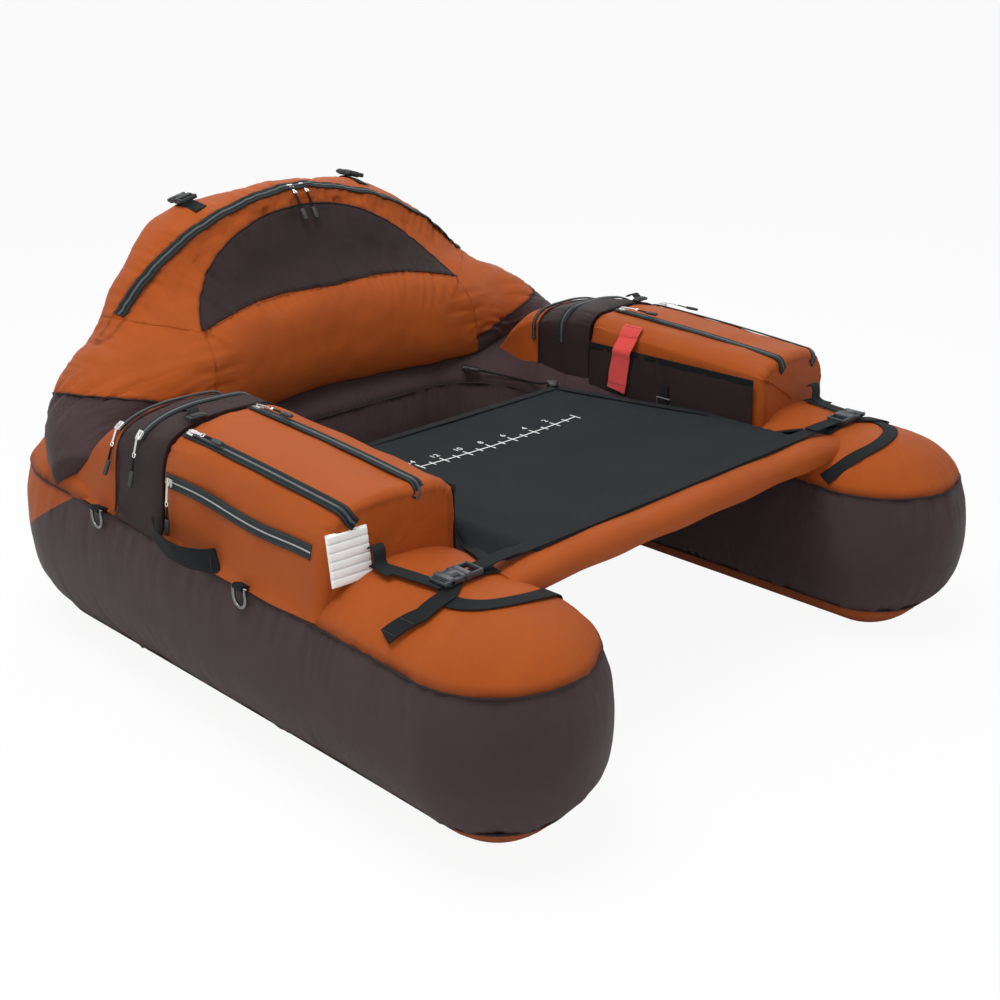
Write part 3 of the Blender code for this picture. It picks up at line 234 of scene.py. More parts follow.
def finish(name, group, entries, tones, mask, rough, relief, plain, seam_shaded=False):
    """A material whose colour and gloss follow one mask of a group, and whose relief is its height. It can also darken
    the colour beside seams, which is painted shade.
    """
    surface, tree, shader = new_material(name)
    coords = node(tree, "ShaderNodeTexCoord").outputs
    entries = {entry: coords[value] if isinstance(value, str) else value for entry, value in entries.items()}
    effect = node(tree, "ShaderNodeGroup", entries, node_tree=group).outputs
    dark, light = ((*tone, 1) for tone in tones)
    colour = node(tree, "ShaderNodeMix", {"A": dark, "B": light, "Factor": effect[mask]}, data_type="RGBA")
    if seam_shaded:
        # Painted shade: the colour is darkened in the valleys beside seams, following the mesh's seam mask.
        shade_mask = node(tree, "ShaderNodeAttribute", attribute_name="seam")
        painted_shade = (*(part * SEAM_PAINTED_SHADE for part in tones[0]), 1)
        colour = node(tree, "ShaderNodeMix", {"B": painted_shade, "Factor": shade_mask.outputs["Fac"],
                                              "A": colour.outputs["Result"]}, data_type="RGBA")
    gloss = node(tree, "ShaderNodeMapRange", {"To Min": rough[0], "To Max": rough[1], "Value": effect[mask]})
    bump = node(tree, "ShaderNodeBump", {"Strength": relief[0], "Distance": relief[1], "Height": effect["Height"]})
    surfaced = {"Base Color": colour.outputs["Result"], "Roughness": gloss.outputs["Result"],
                "Normal": bump.outputs["Normal"]}
    for entry, value in {**surfaced, **plain}.items():
        feed(tree, shader.inputs[entry], value)
    return surface


# %% Woven finishes
CLOTH_RELIEF, CREASE_SCALE, SHEEN_ROUGHNESS = (0.6, 0.002), 7.0, 0.4


def cloth(name, slot, dark, light, rough, sheen=0.0, thread=520.0, weave=0.25, crease=1.0, gloss=0.14):
    """A woven cloth between a dark and a light tone. UV coordinates carry the weave in metres."""
    entries = {"Weave Vector": "UV", "Crease Vector": "Object", "Thread Scale": thread, "Weave Depth": weave,
               "Crease Scale": CREASE_SCALE, "Crease Depth": crease}
    plain = {"Sheen Weight": sheen, "Sheen Roughness": SHEEN_ROUGHNESS, "Specular IOR Level": gloss}
    # Every cloth gets painted shade beside its seams.
    return finish(name, WOVEN, entries, (dark, light), "Shade", rough, CLOTH_RELIEF, plain, seam_shaded=True)


WEB_WEAVE = {"rough": (0.6, 0.8), "thread": 300.0, "weave": 1.0, "crease": 0.1, "gloss": 0.15}
TAPE_WEAVE = {"rough": (0.6, 0.8), "thread": 420.0, "weave": 0.8, "crease": 0.1, "gloss": 0.15}
ORANGE = cloth("orange_nylon", "orange_cloth", (0.32, 0.060, 0.008), (0.49, 0.104, 0.013), (0.44, 0.60), 0.02)
BROWN = cloth("brown_nylon", "brown_cloth", (0.038, 0.022, 0.023), (0.070, 0.042, 0.043), (0.40, 0.56), 0.03)
DEEP = cloth("deep_brown_nylon", "deep_brown_cloth", (0.020, 0.011, 0.011), (0.037, 0.022, 0.022), (0.48, 0.64), 0.02)
CHARCOAL = cloth("charcoal_mesh", "charcoal_cloth", (0.012, 0.015, 0.017), (0.031, 0.038, 0.041), (0.70, 0.86),
                 thread=330.0, weave=0.8, crease=0.3, gloss=0.08)
WEBBING = cloth("black_webbing", "black_webbing", (0.004, 0.005, 0.006), (0.013, 0.016, 0.018), **WEB_WEAVE)
GREY_WEB = cloth("grey_webbing", "black_webbing", (0.010, 0.013, 0.015), (0.024, 0.029, 0.032), **WEB_WEAVE)
TAPE = cloth("zip_tape_cloth", "zip_tape", (0.008, 0.012, 0.014), (0.020, 0.028, 0.031), **TAPE_WEAVE)
PALE_TAPE = cloth("pale_tape_cloth", "zip_tape", (0.022, 0.030, 0.033), (0.046, 0.058, 0.062), **TAPE_WEAVE)
CORAL = cloth("coral_webbing", "coral_webbing", (0.78, 0.055, 0.050), (0.92, 0.100, 0.090), (0.5, 0.65), 0.2,
              thread=300.0, weave=0.8, crease=0.2)

# %% Plastic, metal, foam and vinyl
SMUDGE_SCALE, GRAIN_DEPTH = 60.0, 0.0005


def hard(name, slot, dark, light, rough, metallic=0.0, bump=0.15, grain=900.0):
    """Moulded plastic or plated metal with grain and smudges."""
    entries = {"Vector": "Object", "Grain Scale": grain, "Smudge Scale": SMUDGE_SCALE}
    return finish(name, GRAIN, entries, (dark, light), "Smudge", rough, (bump, GRAIN_DEPTH),
                  {"Metallic": metallic})


PLASTIC, GREY_PLASTIC, CHROME, STEEL, COIL, BRIGHT_COIL, THREAD, RUBBER, FOAM, INK, VINYL, ALUMINIUM = (
    hard(*values, **extra) for *values, extra in (
        ("black_moulded_plastic", "black_plastic", (0.006, 0.007, 0.008), (0.016, 0.018, 0.020), (0.30, 0.48), {}),
        ("grey_moulded_plastic", "black_plastic", (0.024, 0.028, 0.033), (0.048, 0.054, 0.062), (0.32, 0.50), {}),
        ("plated_slider", "bright_metal", (0.62, 0.62, 0.60), (0.86, 0.86, 0.84), (0.14, 0.32), {"metallic": 1.0}),
        ("dark_ring_steel", "ring_steel", (0.14, 0.14, 0.145), (0.27, 0.27, 0.27), (0.22, 0.40), {"metallic": 1.0}),
        ("zip_coil_plastic", "zip_tape", (0.030, 0.040, 0.044), (0.075, 0.092, 0.100), (0.3, 0.45), {}),
        ("bright_coil", "zip_tape", (0.24, 0.25, 0.25), (0.42, 0.42, 0.41), (0.25, 0.4), {"metallic": 0.4}),
        ("stitch_thread", "black_webbing", (0.030, 0.028, 0.028), (0.075, 0.068, 0.066), (0.6, 0.8), {"bump": 0.4}),
        ("pull_rubber", "black_plastic", (0.016, 0.017, 0.018), (0.036, 0.038, 0.040), (0.5, 0.7), {}),
        ("pale_patch_foam", "pale_foam", (0.80, 0.80, 0.79), (0.92, 0.92, 0.91), (0.8, 0.95),
         {"bump": 0.5, "grain": 500.0}),
        ("white_print", "charcoal_cloth", (0.70, 0.72, 0.72), (0.86, 0.87, 0.86), (0.6, 0.8),
         {"bump": 0.4, "grain": 600.0}),
        ("bladder_vinyl", "bladder_vinyl", (0.26, 0.28, 0.29), (0.38, 0.40, 0.41), (0.3, 0.5),
         {"bump": 0.2, "grain": 200.0}),
        ("bar_tube", None, (0.48, 0.48, 0.48), (0.62, 0.62, 0.62), (0.28, 0.42), {"metallic": 1.0})))
print("finishes made:", len(bpy.data.materials))

# %% [markdown]
# ## Ways to make a sheet, a strap and a cord
# Nearly every piece of a float tube is cut cloth, so the main tool is a grid that is carried to its
# place point by point. It keeps its flat size as a UV map in metres, so the weave stays the same
# size everywhere, and two hidden numbers say how far along and how far from a seam each point is.

# %% Sheets
def smooth_points(points, count):
    """A smooth run of points through a few (Catmull-Rom), as a numpy array."""
    fixed = np.array([tuple(point) for point in points], float)
    fixed = np.vstack([2 * fixed[0] - fixed[1], fixed, 2 * fixed[-1] - fixed[-2]])
    places = np.linspace(0, len(points) - 1, count)
    start = np.minimum(places.astype(int), len(points) - 2)
    part = (places - start)[:, None]
    a, b, c, d = (fixed[start + step] for step in range(4))
    return 0.5 * (2 * b + (c - a) * part + (2 * a - 5 * b + 4 * c - d) * part ** 2
                  + (3 * b - a - 3 * c + d) * part ** 3)


def cloth_sheet(columns, rows, place, size, seams=None):
    """A grid moved by place(across, along). seams(across, along) gives (run along a seam, distance from it)."""
    bm = bmesh.new()
    bmesh.ops.create_grid(bm, x_segments=columns, y_segments=rows, size=1)
    flat = bm.loops.layers.uv.new("cloth")
    run = bm.verts.layers.float.new("run")
    away = bm.verts.layers.float.new("away")
    for face in bm.faces:
        for loop in face.loops:
            co = loop.vert.co
            loop[flat].uv = ((0.5 + co.x / 2) * size[0], (0.5 + co.y / 2) * size[1])
    for vert in bm.verts:
        across, along = 0.5 + vert.co.x / 2, 0.5 + vert.co.y / 2
        vert[run], vert[away] = seams(across, along) if seams else (0.0, 1.0)
        vert.co = place(across, along)
    return bm


def seal(bm, fill=True):
    """Merge the doubles, close what is open and turn the faces outwards."""
    bmesh.ops.remove_doubles(bm, verts=bm.verts, dist=0.00002)
    rims = [edge for edge in bm.edges if edge.is_boundary]
    if fill and rims:
        bmesh.ops.holes_fill(bm, edges=rims)
    bmesh.ops.recalc_face_normals(bm, faces=bm.faces)
    return bm


def gather(bm, depth, reach, spacing, seed):
    """The small puckers that a tight seam pulls into cloth, deepest beside the seam."""
    bm.normal_update()
    run, away = bm.verts.layers.float["run"], bm.verts.layers.float["away"]
    for vert in bm.verts:
        fade = math.exp(-vert[away] / reach)
        if fade < 0.02:
            continue
        fold = 0.28 - abs(noise.noise(Vector((vert[run] / spacing, vert[away] / (reach * 2.5), seed))))
        broad = noise.noise(Vector((vert[run] / (spacing * 3.1), vert[away] / (reach * 4), seed + 7)))
        vert.co += vert.normal * (depth * fade * (1.5 * fold + 0.9 * broad - 0.2))


def cut(bm, point, normal):
    """A seam's clean edge, cut by a plane."""
    whole = bm.verts[:] + bm.edges[:] + bm.faces[:]
    bmesh.ops.bisect_plane(bm, geom=whole, dist=0.0008, plane_co=point, plane_no=normal)


def slacken(bm, depth, scale, seed, stretch=(1, 1, 1)):
    """Wide soft undulation, as in cloth over air."""
    bm.normal_update()
    moves = []
    for vert in bm.verts:
        place = vert.co * Vector(stretch) / scale
        moves.append(vert.normal * (depth * noise.noise(place + Vector((seed, seed, seed)))))
    for vert, move in zip(bm.verts, moves):
        vert.co += move


# %% From a bmesh to a piece
SHARP_ANGLE, SEAM_SHADE = math.radians(45), 0.75


def piece(name, bm, surface, body="tube", replaces=(), shade_reach=0.0):
    """Link a finished bmesh as one piece of the object."""
    mesh = bpy.data.meshes.new(name)
    # With shade_reach, a seam mask is stored for painted shade: finishes darken the colour in the valleys beside seams.
    if shade_reach:
        away = bm.verts.layers.float["away"]
        seam = bm.verts.layers.float.new("seam")
        for vert in bm.verts:
            vert[seam] = SEAM_SHADE * math.exp(-(vert[away] / shade_reach) ** 2)
    bm.to_mesh(mesh)
    bm.free()
    mesh.shade_smooth()
    mesh.set_sharp_from_angle(angle=SHARP_ANGLE)
    made = link(name, mesh)
    surfaces = surface if isinstance(surface, tuple) else (surface,)
    for layer in surfaces:
        mesh.materials.append(layer)
    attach(made, body)
    if replaces:
        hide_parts(*replaces)
    return made


def thicken(made, wall, offset=-1):
    """Give a sheet its wall, grown inwards unless it is told otherwise."""
    layer = made.modifiers.new("Cloth", "SOLIDIFY")
    layer.thickness, layer.offset = wall, offset


def second_finish(made, chosen):
    """Give a piece's second finish to the faces whose middle is chosen."""
    for face in made.data.polygons:
        if chosen(*face.center):
            face.material_index = 1


# %% Straps, cords and welts
WEB_WALL, THIN_WALL, WELT_SIDES = 0.0018, 0.0016, 6


def shares(count):
    """Even shares from 0 to 1."""
    return [step / count for step in range(count + 1)]


def mix(start, end, share):
    return start + (end - start) * share


def headings(path):
    return [(after - before).normalized() for before, after in zip(path[:1] + path[:-1], path[1:] + path[-1:])]


def length_of(path):
    return sum((b - a).length for a, b in zip(path, path[1:]))


def strap(path, sideways, width, wall, steps=6):
    """A webbing strap along a path. sideways is one direction, or one for each point."""
    path = [Vector(point) for point in path]
    flats = sideways if isinstance(sideways, list) else [Vector(sideways)] * len(path)
    frames = []
    for here, heading, flat in zip(path, headings(path), flats):
        flat = (flat - heading * heading.dot(flat)).normalized()
        frames.append((here, flat, heading.cross(flat)))
    corners = [(-1, -1), (1, -1), (1, 1), (-1, 1)]
    outline = []
    for (ax, ay), (bx, by) in zip(corners, corners[1:] + corners[:1]):
        count = steps if ay == by else 1
        outline += [(ax + (bx - ax) * k / count, ay + (by - ay) * k / count) for k in range(count)]
    outline.append(outline[0])

    def place(across, along):
        here, flat, up = frames[min(len(frames) - 1, round(along * (len(frames) - 1)))]
        a, b = outline[round(across * (len(outline) - 1))]
        round_off = 1 - 0.18 * max(0.0, abs(a) - 0.8) / 0.2
        return here + flat * (a * width / 2) + up * (b * wall / 2 * round_off)

    return seal(cloth_sheet(len(outline) - 1, len(path) - 1, place, (2 * width, length_of(path))))


def webbing(name, path, sideways, width, wall=THIN_WALL, surface=WEBBING, **ties):
    """A strap that is a piece of its own."""
    return piece(name, strap(path, sideways, width, wall), surface, **ties)


def cord_tube(path, radius, sides=WELT_SIDES, closed=False):
    """A round cord or welt along a path."""
    path = [Vector(point) for point in path]
    turns = headings(path)
    if closed:
        turns = [(path[(k + 1) % len(path)] - path[k - 1]).normalized() for k in range(len(path))]
    up = Vector((0.12, 0.23, 0.97)).normalized()
    frames = []
    for here, heading in zip(path, turns):
        flat = heading.cross(up)
        if flat.length < 0.05:
            flat = heading.cross(Vector((1, 0, 0)))
        flat.normalize()
        frames.append((here, flat, heading.cross(flat)))
    if closed:
        frames.append(frames[0])

    def place(across, along):
        here, flat, top = frames[round(along * (len(frames) - 1))]
        turn = math.tau * across
        return here + radius * (math.cos(turn) * flat + math.sin(turn) * top)

    size = (math.tau * radius, length_of(path))
    return seal(cloth_sheet(sides, len(frames) - 1, place, size), fill=not closed)


# %% Moulded blocks
def set_down(bm, turn, place):
    """Turn a bmesh about the origin, then carry it to its place."""
    if turn is not None:
        bmesh.ops.transform(bm, matrix=turn, verts=bm.verts)
    bmesh.ops.translate(bm, verts=bm.verts, vec=place)
    return bm


def block(size, place, turn=None, edge=0.0, segments=2):
    """A moulded block with rounded edges."""
    bm = bmesh.new()
    bmesh.ops.create_cube(bm, size=1)
    bmesh.ops.scale(bm, verts=bm.verts, vec=size)
    if edge:
        bmesh.ops.bevel(bm, geom=bm.edges[:], offset=edge, segments=segments, profile=0.5, affect="EDGES",
                        material=-1)
    return set_down(bm, turn, place)


def joined(parts):
    """Several bmeshes as one."""
    whole = bmesh.new()
    for part in parts:
        mesh = bpy.data.meshes.new("part")
        part.to_mesh(mesh)
        part.free()
        whole.from_mesh(mesh)
        bpy.data.meshes.remove(mesh)
    return whole


def basis(across, along, up):
    """A turn whose X, Y and Z go along three directions."""
    return Matrix((across, along, up)).transposed().to_4x4()


def near(spot, shifts):
    """Points given by their shifts from one spot."""
    return [spot + Vector(shift) for shift in shifts]


# %% Rows of stitches
STITCH_PITCH, STITCH_LENGTH, STITCH_WIDTH = 0.0046, 0.0031, 0.0008


def stitch_row(name, path, normals):
    """A row of sewn stitches along a path on cloth. One normal does for a straight row."""
    path = [Vector(point) for point in path]
    normals = [normals] * len(path) if isinstance(normals, Vector) else normals
    count = max(1, int(length_of(path) / STITCH_PITCH))
    spots, ups = (smooth_points(line, count * 3 + 1) for line in (path, normals))
    stitch = block((STITCH_WIDTH, STITCH_LENGTH, STITCH_WIDTH), (0, 0, 0), None, 0.0002, 1)
    whole = bmesh.new()
    mesh = bpy.data.meshes.new("stitch")
    stitch.to_mesh(mesh)
    stitch.free()
    for middle in range(1, 3 * count, 3):
        along = Vector(spots[middle + 1] - spots[middle - 1]).normalized()
        up = Vector(ups[middle])
        up = (up - along * up.dot(along)).normalized()
        before = len(whole.verts)
        whole.from_mesh(mesh)
        whole.verts.ensure_lookup_table()
        turn = Matrix.Translation(Vector(spots[middle])) @ basis(along.cross(up), along, up)
        bmesh.ops.transform(whole, matrix=turn, verts=whole.verts[before:])
    bpy.data.meshes.remove(mesh)
    return piece(name, whole, THREAD)


SIDES = (("left", 1), ("right", -1))
ACROSS, ALONG, UP = Vector((1, 0, 0)), Vector((0, 1, 0)), Vector((0, 0, 1))
print("tools ready")

# %% [markdown]
# ## The hull's cover
# The hull is a U of inflated tube. Its outline runs from the tips round the rear, and each point of
# the outline has a rib from the tube's ridge line to its wall. The same ribs carry all three panels:
# orange top, brown side band and orange underside, which is how the real cover is cut and sewn.

# %% The hull's outline
HULL_LENGTH, HULL_WIDTH = 1.32, 1.20
PONTOON_RADIUS, REAR_TUBE_WIDTH = 0.1525, 0.35
OUTER_CORNER, INNER_CORNER = 0.27, 0.12
LOWER_INSET, LOWER_SEAM, TIP_SEAM, REAR_SEAM = 0.05, 0.05, 0.25, 0.295
SEAM_INSET, CROWN_RISE = 0.018, 0.068
REAR_STEPS, CORNER_STEPS, SIDE_STEPS, TIP_STEPS = 26, 40, 110, 56
BAND_PROFILE = ((0.0, 0.36), (0.2, 0.08), (0.42, 0.0), (0.66, 0.08), (0.85, 0.42), (1.0, 1.0))
TIP_Y = PONTOON_RADIUS - HULL_LENGTH / 2
RIDGE_X = HULL_WIDTH / 2 - PONTOON_RADIUS
INNER_X = HULL_WIDTH / 2 - 2 * PONTOON_RADIUS
INNER_REAR_Y = HULL_LENGTH / 2 - REAR_TUBE_WIDTH


def rail(rear_y, side_x, corner):
    """One wall from the middle of the rear to the tip's centre line, on the +X half."""
    flat = side_x - corner
    points = [Vector((flat * step / REAR_STEPS, rear_y)) for step in range(REAR_STEPS)]
    for step in range(CORNER_STEPS):
        angle = math.pi / 2 * (1 - step / CORNER_STEPS)
        points.append(Vector((flat + corner * math.cos(angle), rear_y - corner + corner * math.sin(angle))))
    start = rear_y - corner
    points += [Vector((side_x, mix(start, TIP_Y, step / SIDE_STEPS))) for step in range(SIDE_STEPS + 1)]
    return points


def hull_ribs():
    """Each rib as its ridge point and wall point, once round the whole outline."""
    outer = rail(HULL_LENGTH / 2, HULL_WIDTH / 2, OUTER_CORNER)
    inner = rail(INNER_REAR_Y, INNER_X, INNER_CORNER)
    ridge = [(a + b) / 2 for a, b in zip(outer, inner)]
    turn = []
    for step in range(1, TIP_STEPS):
        angle = -math.pi * step / TIP_STEPS
        turn.append((ridge[-1], ridge[-1] + PONTOON_RADIUS * Vector((math.cos(angle), math.sin(angle)))))
    half = list(zip(ridge, outer)) + turn + list(zip(ridge, inner))[::-1]
    flip = Vector((-1, 1))
    return half + [(a * flip, b * flip) for a, b in half[1:-1]][::-1]


RIBS = hull_ribs()
RIB_RUN = np.concatenate([[0.0], np.cumsum([(b[1] - a[1]).length for a, b in zip(RIBS, RIBS[1:] + RIBS[:1])])])
BAND_CURVE = smooth_points(BAND_PROFILE, 61)


# %% Places on the hull
SEAM_EASE, CROWN_OVAL, PANEL_WIDTHS = 0.6, (2.4, 0.7), {"top": 0.15, "band": 0.28, "keel": 0.12}


def seam_height(y):
    """The top seam rises from the tips to the rear, quickest near the tips."""
    share = max(0.0, (y + HULL_LENGTH / 2) / HULL_LENGTH)
    return mix(TIP_SEAM, REAR_SEAM, share ** SEAM_EASE)


def crown_height(y, share):
    """Height of the top panel, at a share of the way from the ridge to the seam."""
    square, round_off = CROWN_OVAL
    return seam_height(y) + CROWN_RISE * (1 - min(abs(share), 1) ** square) ** round_off


def pontoon_top(x, y):
    """Height of a pontoon's top at a place on its straight part."""
    return crown_height(y, abs(abs(x) - RIDGE_X) / (PONTOON_RADIUS - SEAM_INSET))


def hull_place(number, part, share, inset=0.0):
    """A point on rib number's top, band or keel line."""
    ridge, wall = RIBS[number % len(RIBS)]
    rib = wall - ridge
    reach = rib.length
    top = seam_height(ridge.y)
    if part == "band":
        drawn = float(np.interp(share, BAND_CURVE[:, 0], BAND_CURVE[:, 1]))
        out = reach - LOWER_INSET * drawn
        height = mix(top, LOWER_SEAM, share)
    elif part == "top":
        out = share * (reach - SEAM_INSET)
        height = crown_height(ridge.y, share)
    else:
        out = share * (reach - LOWER_INSET)
        height = LOWER_SEAM * max(0.0, (share - 0.35) / 0.65) ** 1.7
    squeeze = 1 - inset / PONTOON_RADIUS
    middle = (LOWER_SEAM + TIP_SEAM) / 2
    height = middle + (height - middle) * (1 - inset / middle)
    flat = ridge + rib * (out * squeeze / reach)
    return Vector((flat.x, flat.y, height))


def hull_panel(part, rows):
    """One panel of the cover, once round the hull."""
    count = len(RIBS)
    width = PANEL_WIDTHS[part]

    def place(across, along):
        share = math.sin(along * math.pi / 2) if part == "top" else along
        return hull_place(round(across * count), part, share)

    def seams(across, along):
        number = min(count - 1, round(across * count))
        if part == "band":
            away = min(along, 1 - along) * width
        else:
            away = (1 - math.sin(along * math.pi / 2) if part == "top" else 1 - along) * width
        return float(RIB_RUN[number]), away

    return cloth_sheet(count, rows, place, (RIB_RUN[-1], width), seams)


# %% Cover panels and their welts
DECK_HALF_WIDTH, DECK_FRONT_Y, DECK_REAR_Y = 0.40, -0.290, 0.45
CORNER_SEAM, CORNER_SLOPE, CORNER_LOW = Vector((0, 0.2908, 0.2954)), 0.554, 0.15
COVER_SHADE, HULL_WELT = 0.004, 0.0019

top = seal(hull_panel("top", 16), fill=False)
gather(top, 0.0042, 0.044, 0.017, 3.0)
slacken(top, 0.0016, 0.11, 5.0)
for y in (DECK_FRONT_Y, DECK_REAR_Y):
    cut(top, (0, y, 0), ALONG)
for x in (DECK_HALF_WIDTH, -DECK_HALF_WIDTH):
    cut(top, (x, 0, 0), ACROSS)
made = piece("hull_top_cover", top, (ORANGE, BROWN), replaces=("hull_top_panel",), shade_reach=COVER_SHADE)
second_finish(made, lambda x, y, z: abs(x) < DECK_HALF_WIDTH and DECK_FRONT_Y < y < DECK_REAR_Y)


def rear_corner(x, y, z):
    """The orange corner panel: outside, above its low edge and behind the sloping seam."""
    outside = abs(x) > 0.45 or y > 0.5
    return outside and z > CORNER_LOW and z - CORNER_SEAM.z > CORNER_SLOPE * (CORNER_SEAM.y - y)


band = seal(hull_panel("band", 26), fill=False)
gather(band, 0.0064, 0.050, 0.017, 11.0)
slacken(band, 0.0022, 0.13, 17.0, (1, 1, 2.2))
cut(band, CORNER_SEAM, (0, CORNER_SLOPE, 1))
cut(band, (0, 0, CORNER_LOW), UP)
made = piece("hull_side_cover", band, (BROWN, ORANGE), replaces=("hull_side_band",), shade_reach=COVER_SHADE)
second_finish(made, rear_corner)

keel = seal(hull_panel("keel", 8), fill=False)
gather(keel, 0.0020, 0.02, 0.018, 19.0)
for vert in keel.verts:
    vert.co.z = max(vert.co.z, 0.0)
piece("hull_bottom_cover", keel, ORANGE, replaces=("hull_bottom_panel",), shade_reach=COVER_SHADE)

for name, part in (("top", "top"), ("lower", "band")):
    loop = [hull_place(number, part, 1.0) for number in range(0, len(RIBS), 2)]
    piece("hull_welt_" + name, cord_tube(loop, HULL_WELT, closed=True), DEEP)
print("hull cover:", len(RIBS), "ribs,", round(RIB_RUN[-1], 2), "m of seam")

# %% [markdown]
# ## The bladder inside
# A vinyl bladder holds the air. The cover hides it, so it needs no wrinkles: the same ribs, drawn
# in from the cover, make one closed skin.

# %% Bladder
BLADDER_INSET = 0.009


def bladder_place(across, along):
    number = round(across * len(RIBS))
    if along < 1 / 3:
        return hull_place(number, "top", 3 * along, BLADDER_INSET)
    if along < 2 / 3:
        return hull_place(number, "band", 3 * along - 1, BLADDER_INSET)
    return hull_place(number, "keel", 3 - 3 * along, BLADDER_INSET)


bladder = seal(cloth_sheet(len(RIBS) // 2, 24, bladder_place, (6.0, 0.6)))
piece("hull_bladder", bladder, VINYL, replaces=("main_bladder",))

# %% [markdown]
# ## The backrest dome
# The dome is a storage bag over an inflated back. It is one section swept round an arch that leans
# back five degrees. Sweeping a section keeps the zip ridge even, and the seam pulls fine gathers
# into the cloth on both sides of it.

# %% The dome's section
ARCH_RADIUS, BACK_LEAN = 0.55, math.radians(5)
ARCH_UP = Vector((0, math.sin(BACK_LEAN), math.cos(BACK_LEAN)))
ARCH_FRONT = Vector((0, -math.cos(BACK_LEAN), math.sin(BACK_LEAN)))
ARCH_CENTRE = Vector((0, 0.47, 0.682)) - ARCH_RADIUS * ARCH_UP
DOME_SPAN, DOME_TAPER_START = math.radians(51), math.radians(39)
DOME_DROP, DOME_DEPTH = 0.42, 0.22
DOME_FRONT = ((0.07, 0.075), (0.23, 0.18), (0.43, 0.25), (0.62, 0.14), (0.82, -0.1), (1.0, -0.3))
DOME_BACK = ((1.0, -1.0), (0.72, -0.97), (0.45, -0.88), (0.24, -0.72), (0.08, -0.5), (-0.01, -0.3), (-0.03, -0.14))
SEAT_TILT, ZIP_SEAT = math.radians(26), 0.026
DOME_COLUMNS, DOME_ROWS = 110, 96
DOME_WRAP, SITTER_HALF_WIDTH = 0.158, 0.37
CRESCENT_SPAN, CRESCENT_TOP, CRESCENT_FOOT, CRESCENT_TIP = math.radians(39.8), 0.522, 0.379, 0.453


def arch_place(angle, radius, forward):
    """A place by its angle round the arch, its distance from the centre and its depth."""
    radial = Vector((math.sin(angle), 0, 0)) + math.cos(angle) * ARCH_UP
    return ARCH_CENTRE + float(radius) * radial + float(forward) * ARCH_FRONT


def dome_wrap(angle, drop):
    """How far the front comes forward at the sides, to hold the sitter."""
    across = abs((ARCH_RADIUS - drop) * math.sin(angle)) / SITTER_HALF_WIDTH
    return DOME_WRAP * across ** 4 * min(1.0, max(0.0, drop) / 0.1) ** 2


half = ZIP_SEAT / 2
front_edge = (half * math.sin(SEAT_TILT), half * math.cos(SEAT_TILT))
front_side = [front_edge] + [(a * DOME_DROP, b * DOME_DEPTH) for a, b in DOME_FRONT]
back_side = [(a * DOME_DROP, b * DOME_DEPTH) for a, b in DOME_BACK] + [(-front_edge[0], -front_edge[1])]
FRONT_LINE = smooth_points(front_side, 45)
BACK_LINE = smooth_points(back_side, 45)
DOME_LINE = np.vstack([FRONT_LINE, BACK_LINE, FRONT_LINE[:1]])
DOME_RUN = np.concatenate([[0.0], np.cumsum(np.linalg.norm(np.diff(DOME_LINE, axis=0), axis=1))])
FRONT_END = DOME_RUN[len(FRONT_LINE) - 1]
BACK_END = DOME_RUN[len(DOME_LINE) - 2]

# %% The section swept round the arch
BACK_FULLNESS, FULL_ANGLE, FULL_SPREAD = 0.040, math.radians(23), math.radians(12)
FULL_UP, FULL_BACK, END_TAPER, WRAP_FADE = 0.55, 0.85, 0.5, 0.12


def back_fullness(angle, run):
    """How much the back is blown out on each side of the middle, from nothing at the zip."""
    if run <= FRONT_END:
        return 0.0
    behind = BACK_END - run
    ramp = min(1.0, max(0.0, behind) / 0.055)
    fade = 1 - min(1.0, max(0.0, behind - 0.16) / 0.20)
    side = math.exp(-((abs(angle) - FULL_ANGLE) / FULL_SPREAD) ** 2)
    return BACK_FULLNESS * side * math.sin(ramp * math.pi / 2) * fade * fade * (3 - 2 * fade)


def dome_point(angle, run):
    """A place on the dome by its angle and the run round its section from the zip's front edge."""
    drop = float(np.interp(run, DOME_RUN, DOME_LINE[:, 0]))
    depth = float(np.interp(run, DOME_RUN, DOME_LINE[:, 1]))
    late = max(0.0, (abs(angle) - DOME_TAPER_START) / (DOME_SPAN - DOME_TAPER_START))
    taper = mix(1.0, END_TAPER, min(late, 1) ** 2)
    forward = dome_wrap(angle, drop) if run <= FRONT_END else 0.0
    if FRONT_END < run < BACK_END:
        foot = float(np.interp(FRONT_END, DOME_RUN, DOME_LINE[:, 0]))
        forward = dome_wrap(angle, foot) * max(0.0, 1 - (run - FRONT_END) / WRAP_FADE)
    full = back_fullness(angle, run)
    radius = ARCH_RADIUS - drop * taper + FULL_UP * full
    return arch_place(angle, radius, (depth + forward) * taper - FULL_BACK * full)


def dome_place(across, along):
    return dome_point(mix(-DOME_SPAN, DOME_SPAN, across), along * DOME_RUN[-1])


# %% [markdown]
# ## Cushion and shoulders
# The cushion below the dome is an inflated pad: rings that shrink towards its rim give it a crown
# on both faces. A shoulder lobe runs down from each end of the dome to the hull's rear corner.

# %% Cushion and shoulder forms
CUSHION_HALF_WIDTH, CUSHION_HALF_HEIGHT, CUSHION_MIDDLE = 0.395, 0.098, 0.292
CUSHION_BULGE, CUSHION_BACK, CUSHION_FORWARD, CUSHION_WRAP, CUSHION_DROOP = 0.058, 0.03, 0.056, 0.057, 0.045
WING_STATIONS = (
    (0.27, 0.462, 0.395, 0.105), (0.340, 0.453, 0.398, 0.114), (0.394, 0.440, 0.391, 0.110),
    (0.444, 0.414, 0.368, 0.100), (0.486, 0.386, 0.343, 0.089), (0.522, 0.354, 0.320, 0.076),
    (0.556, 0.324, 0.300, 0.052),
)
WING_STEPS = 60
WING_LINE = smooth_points(WING_STATIONS, WING_STEPS + 1)


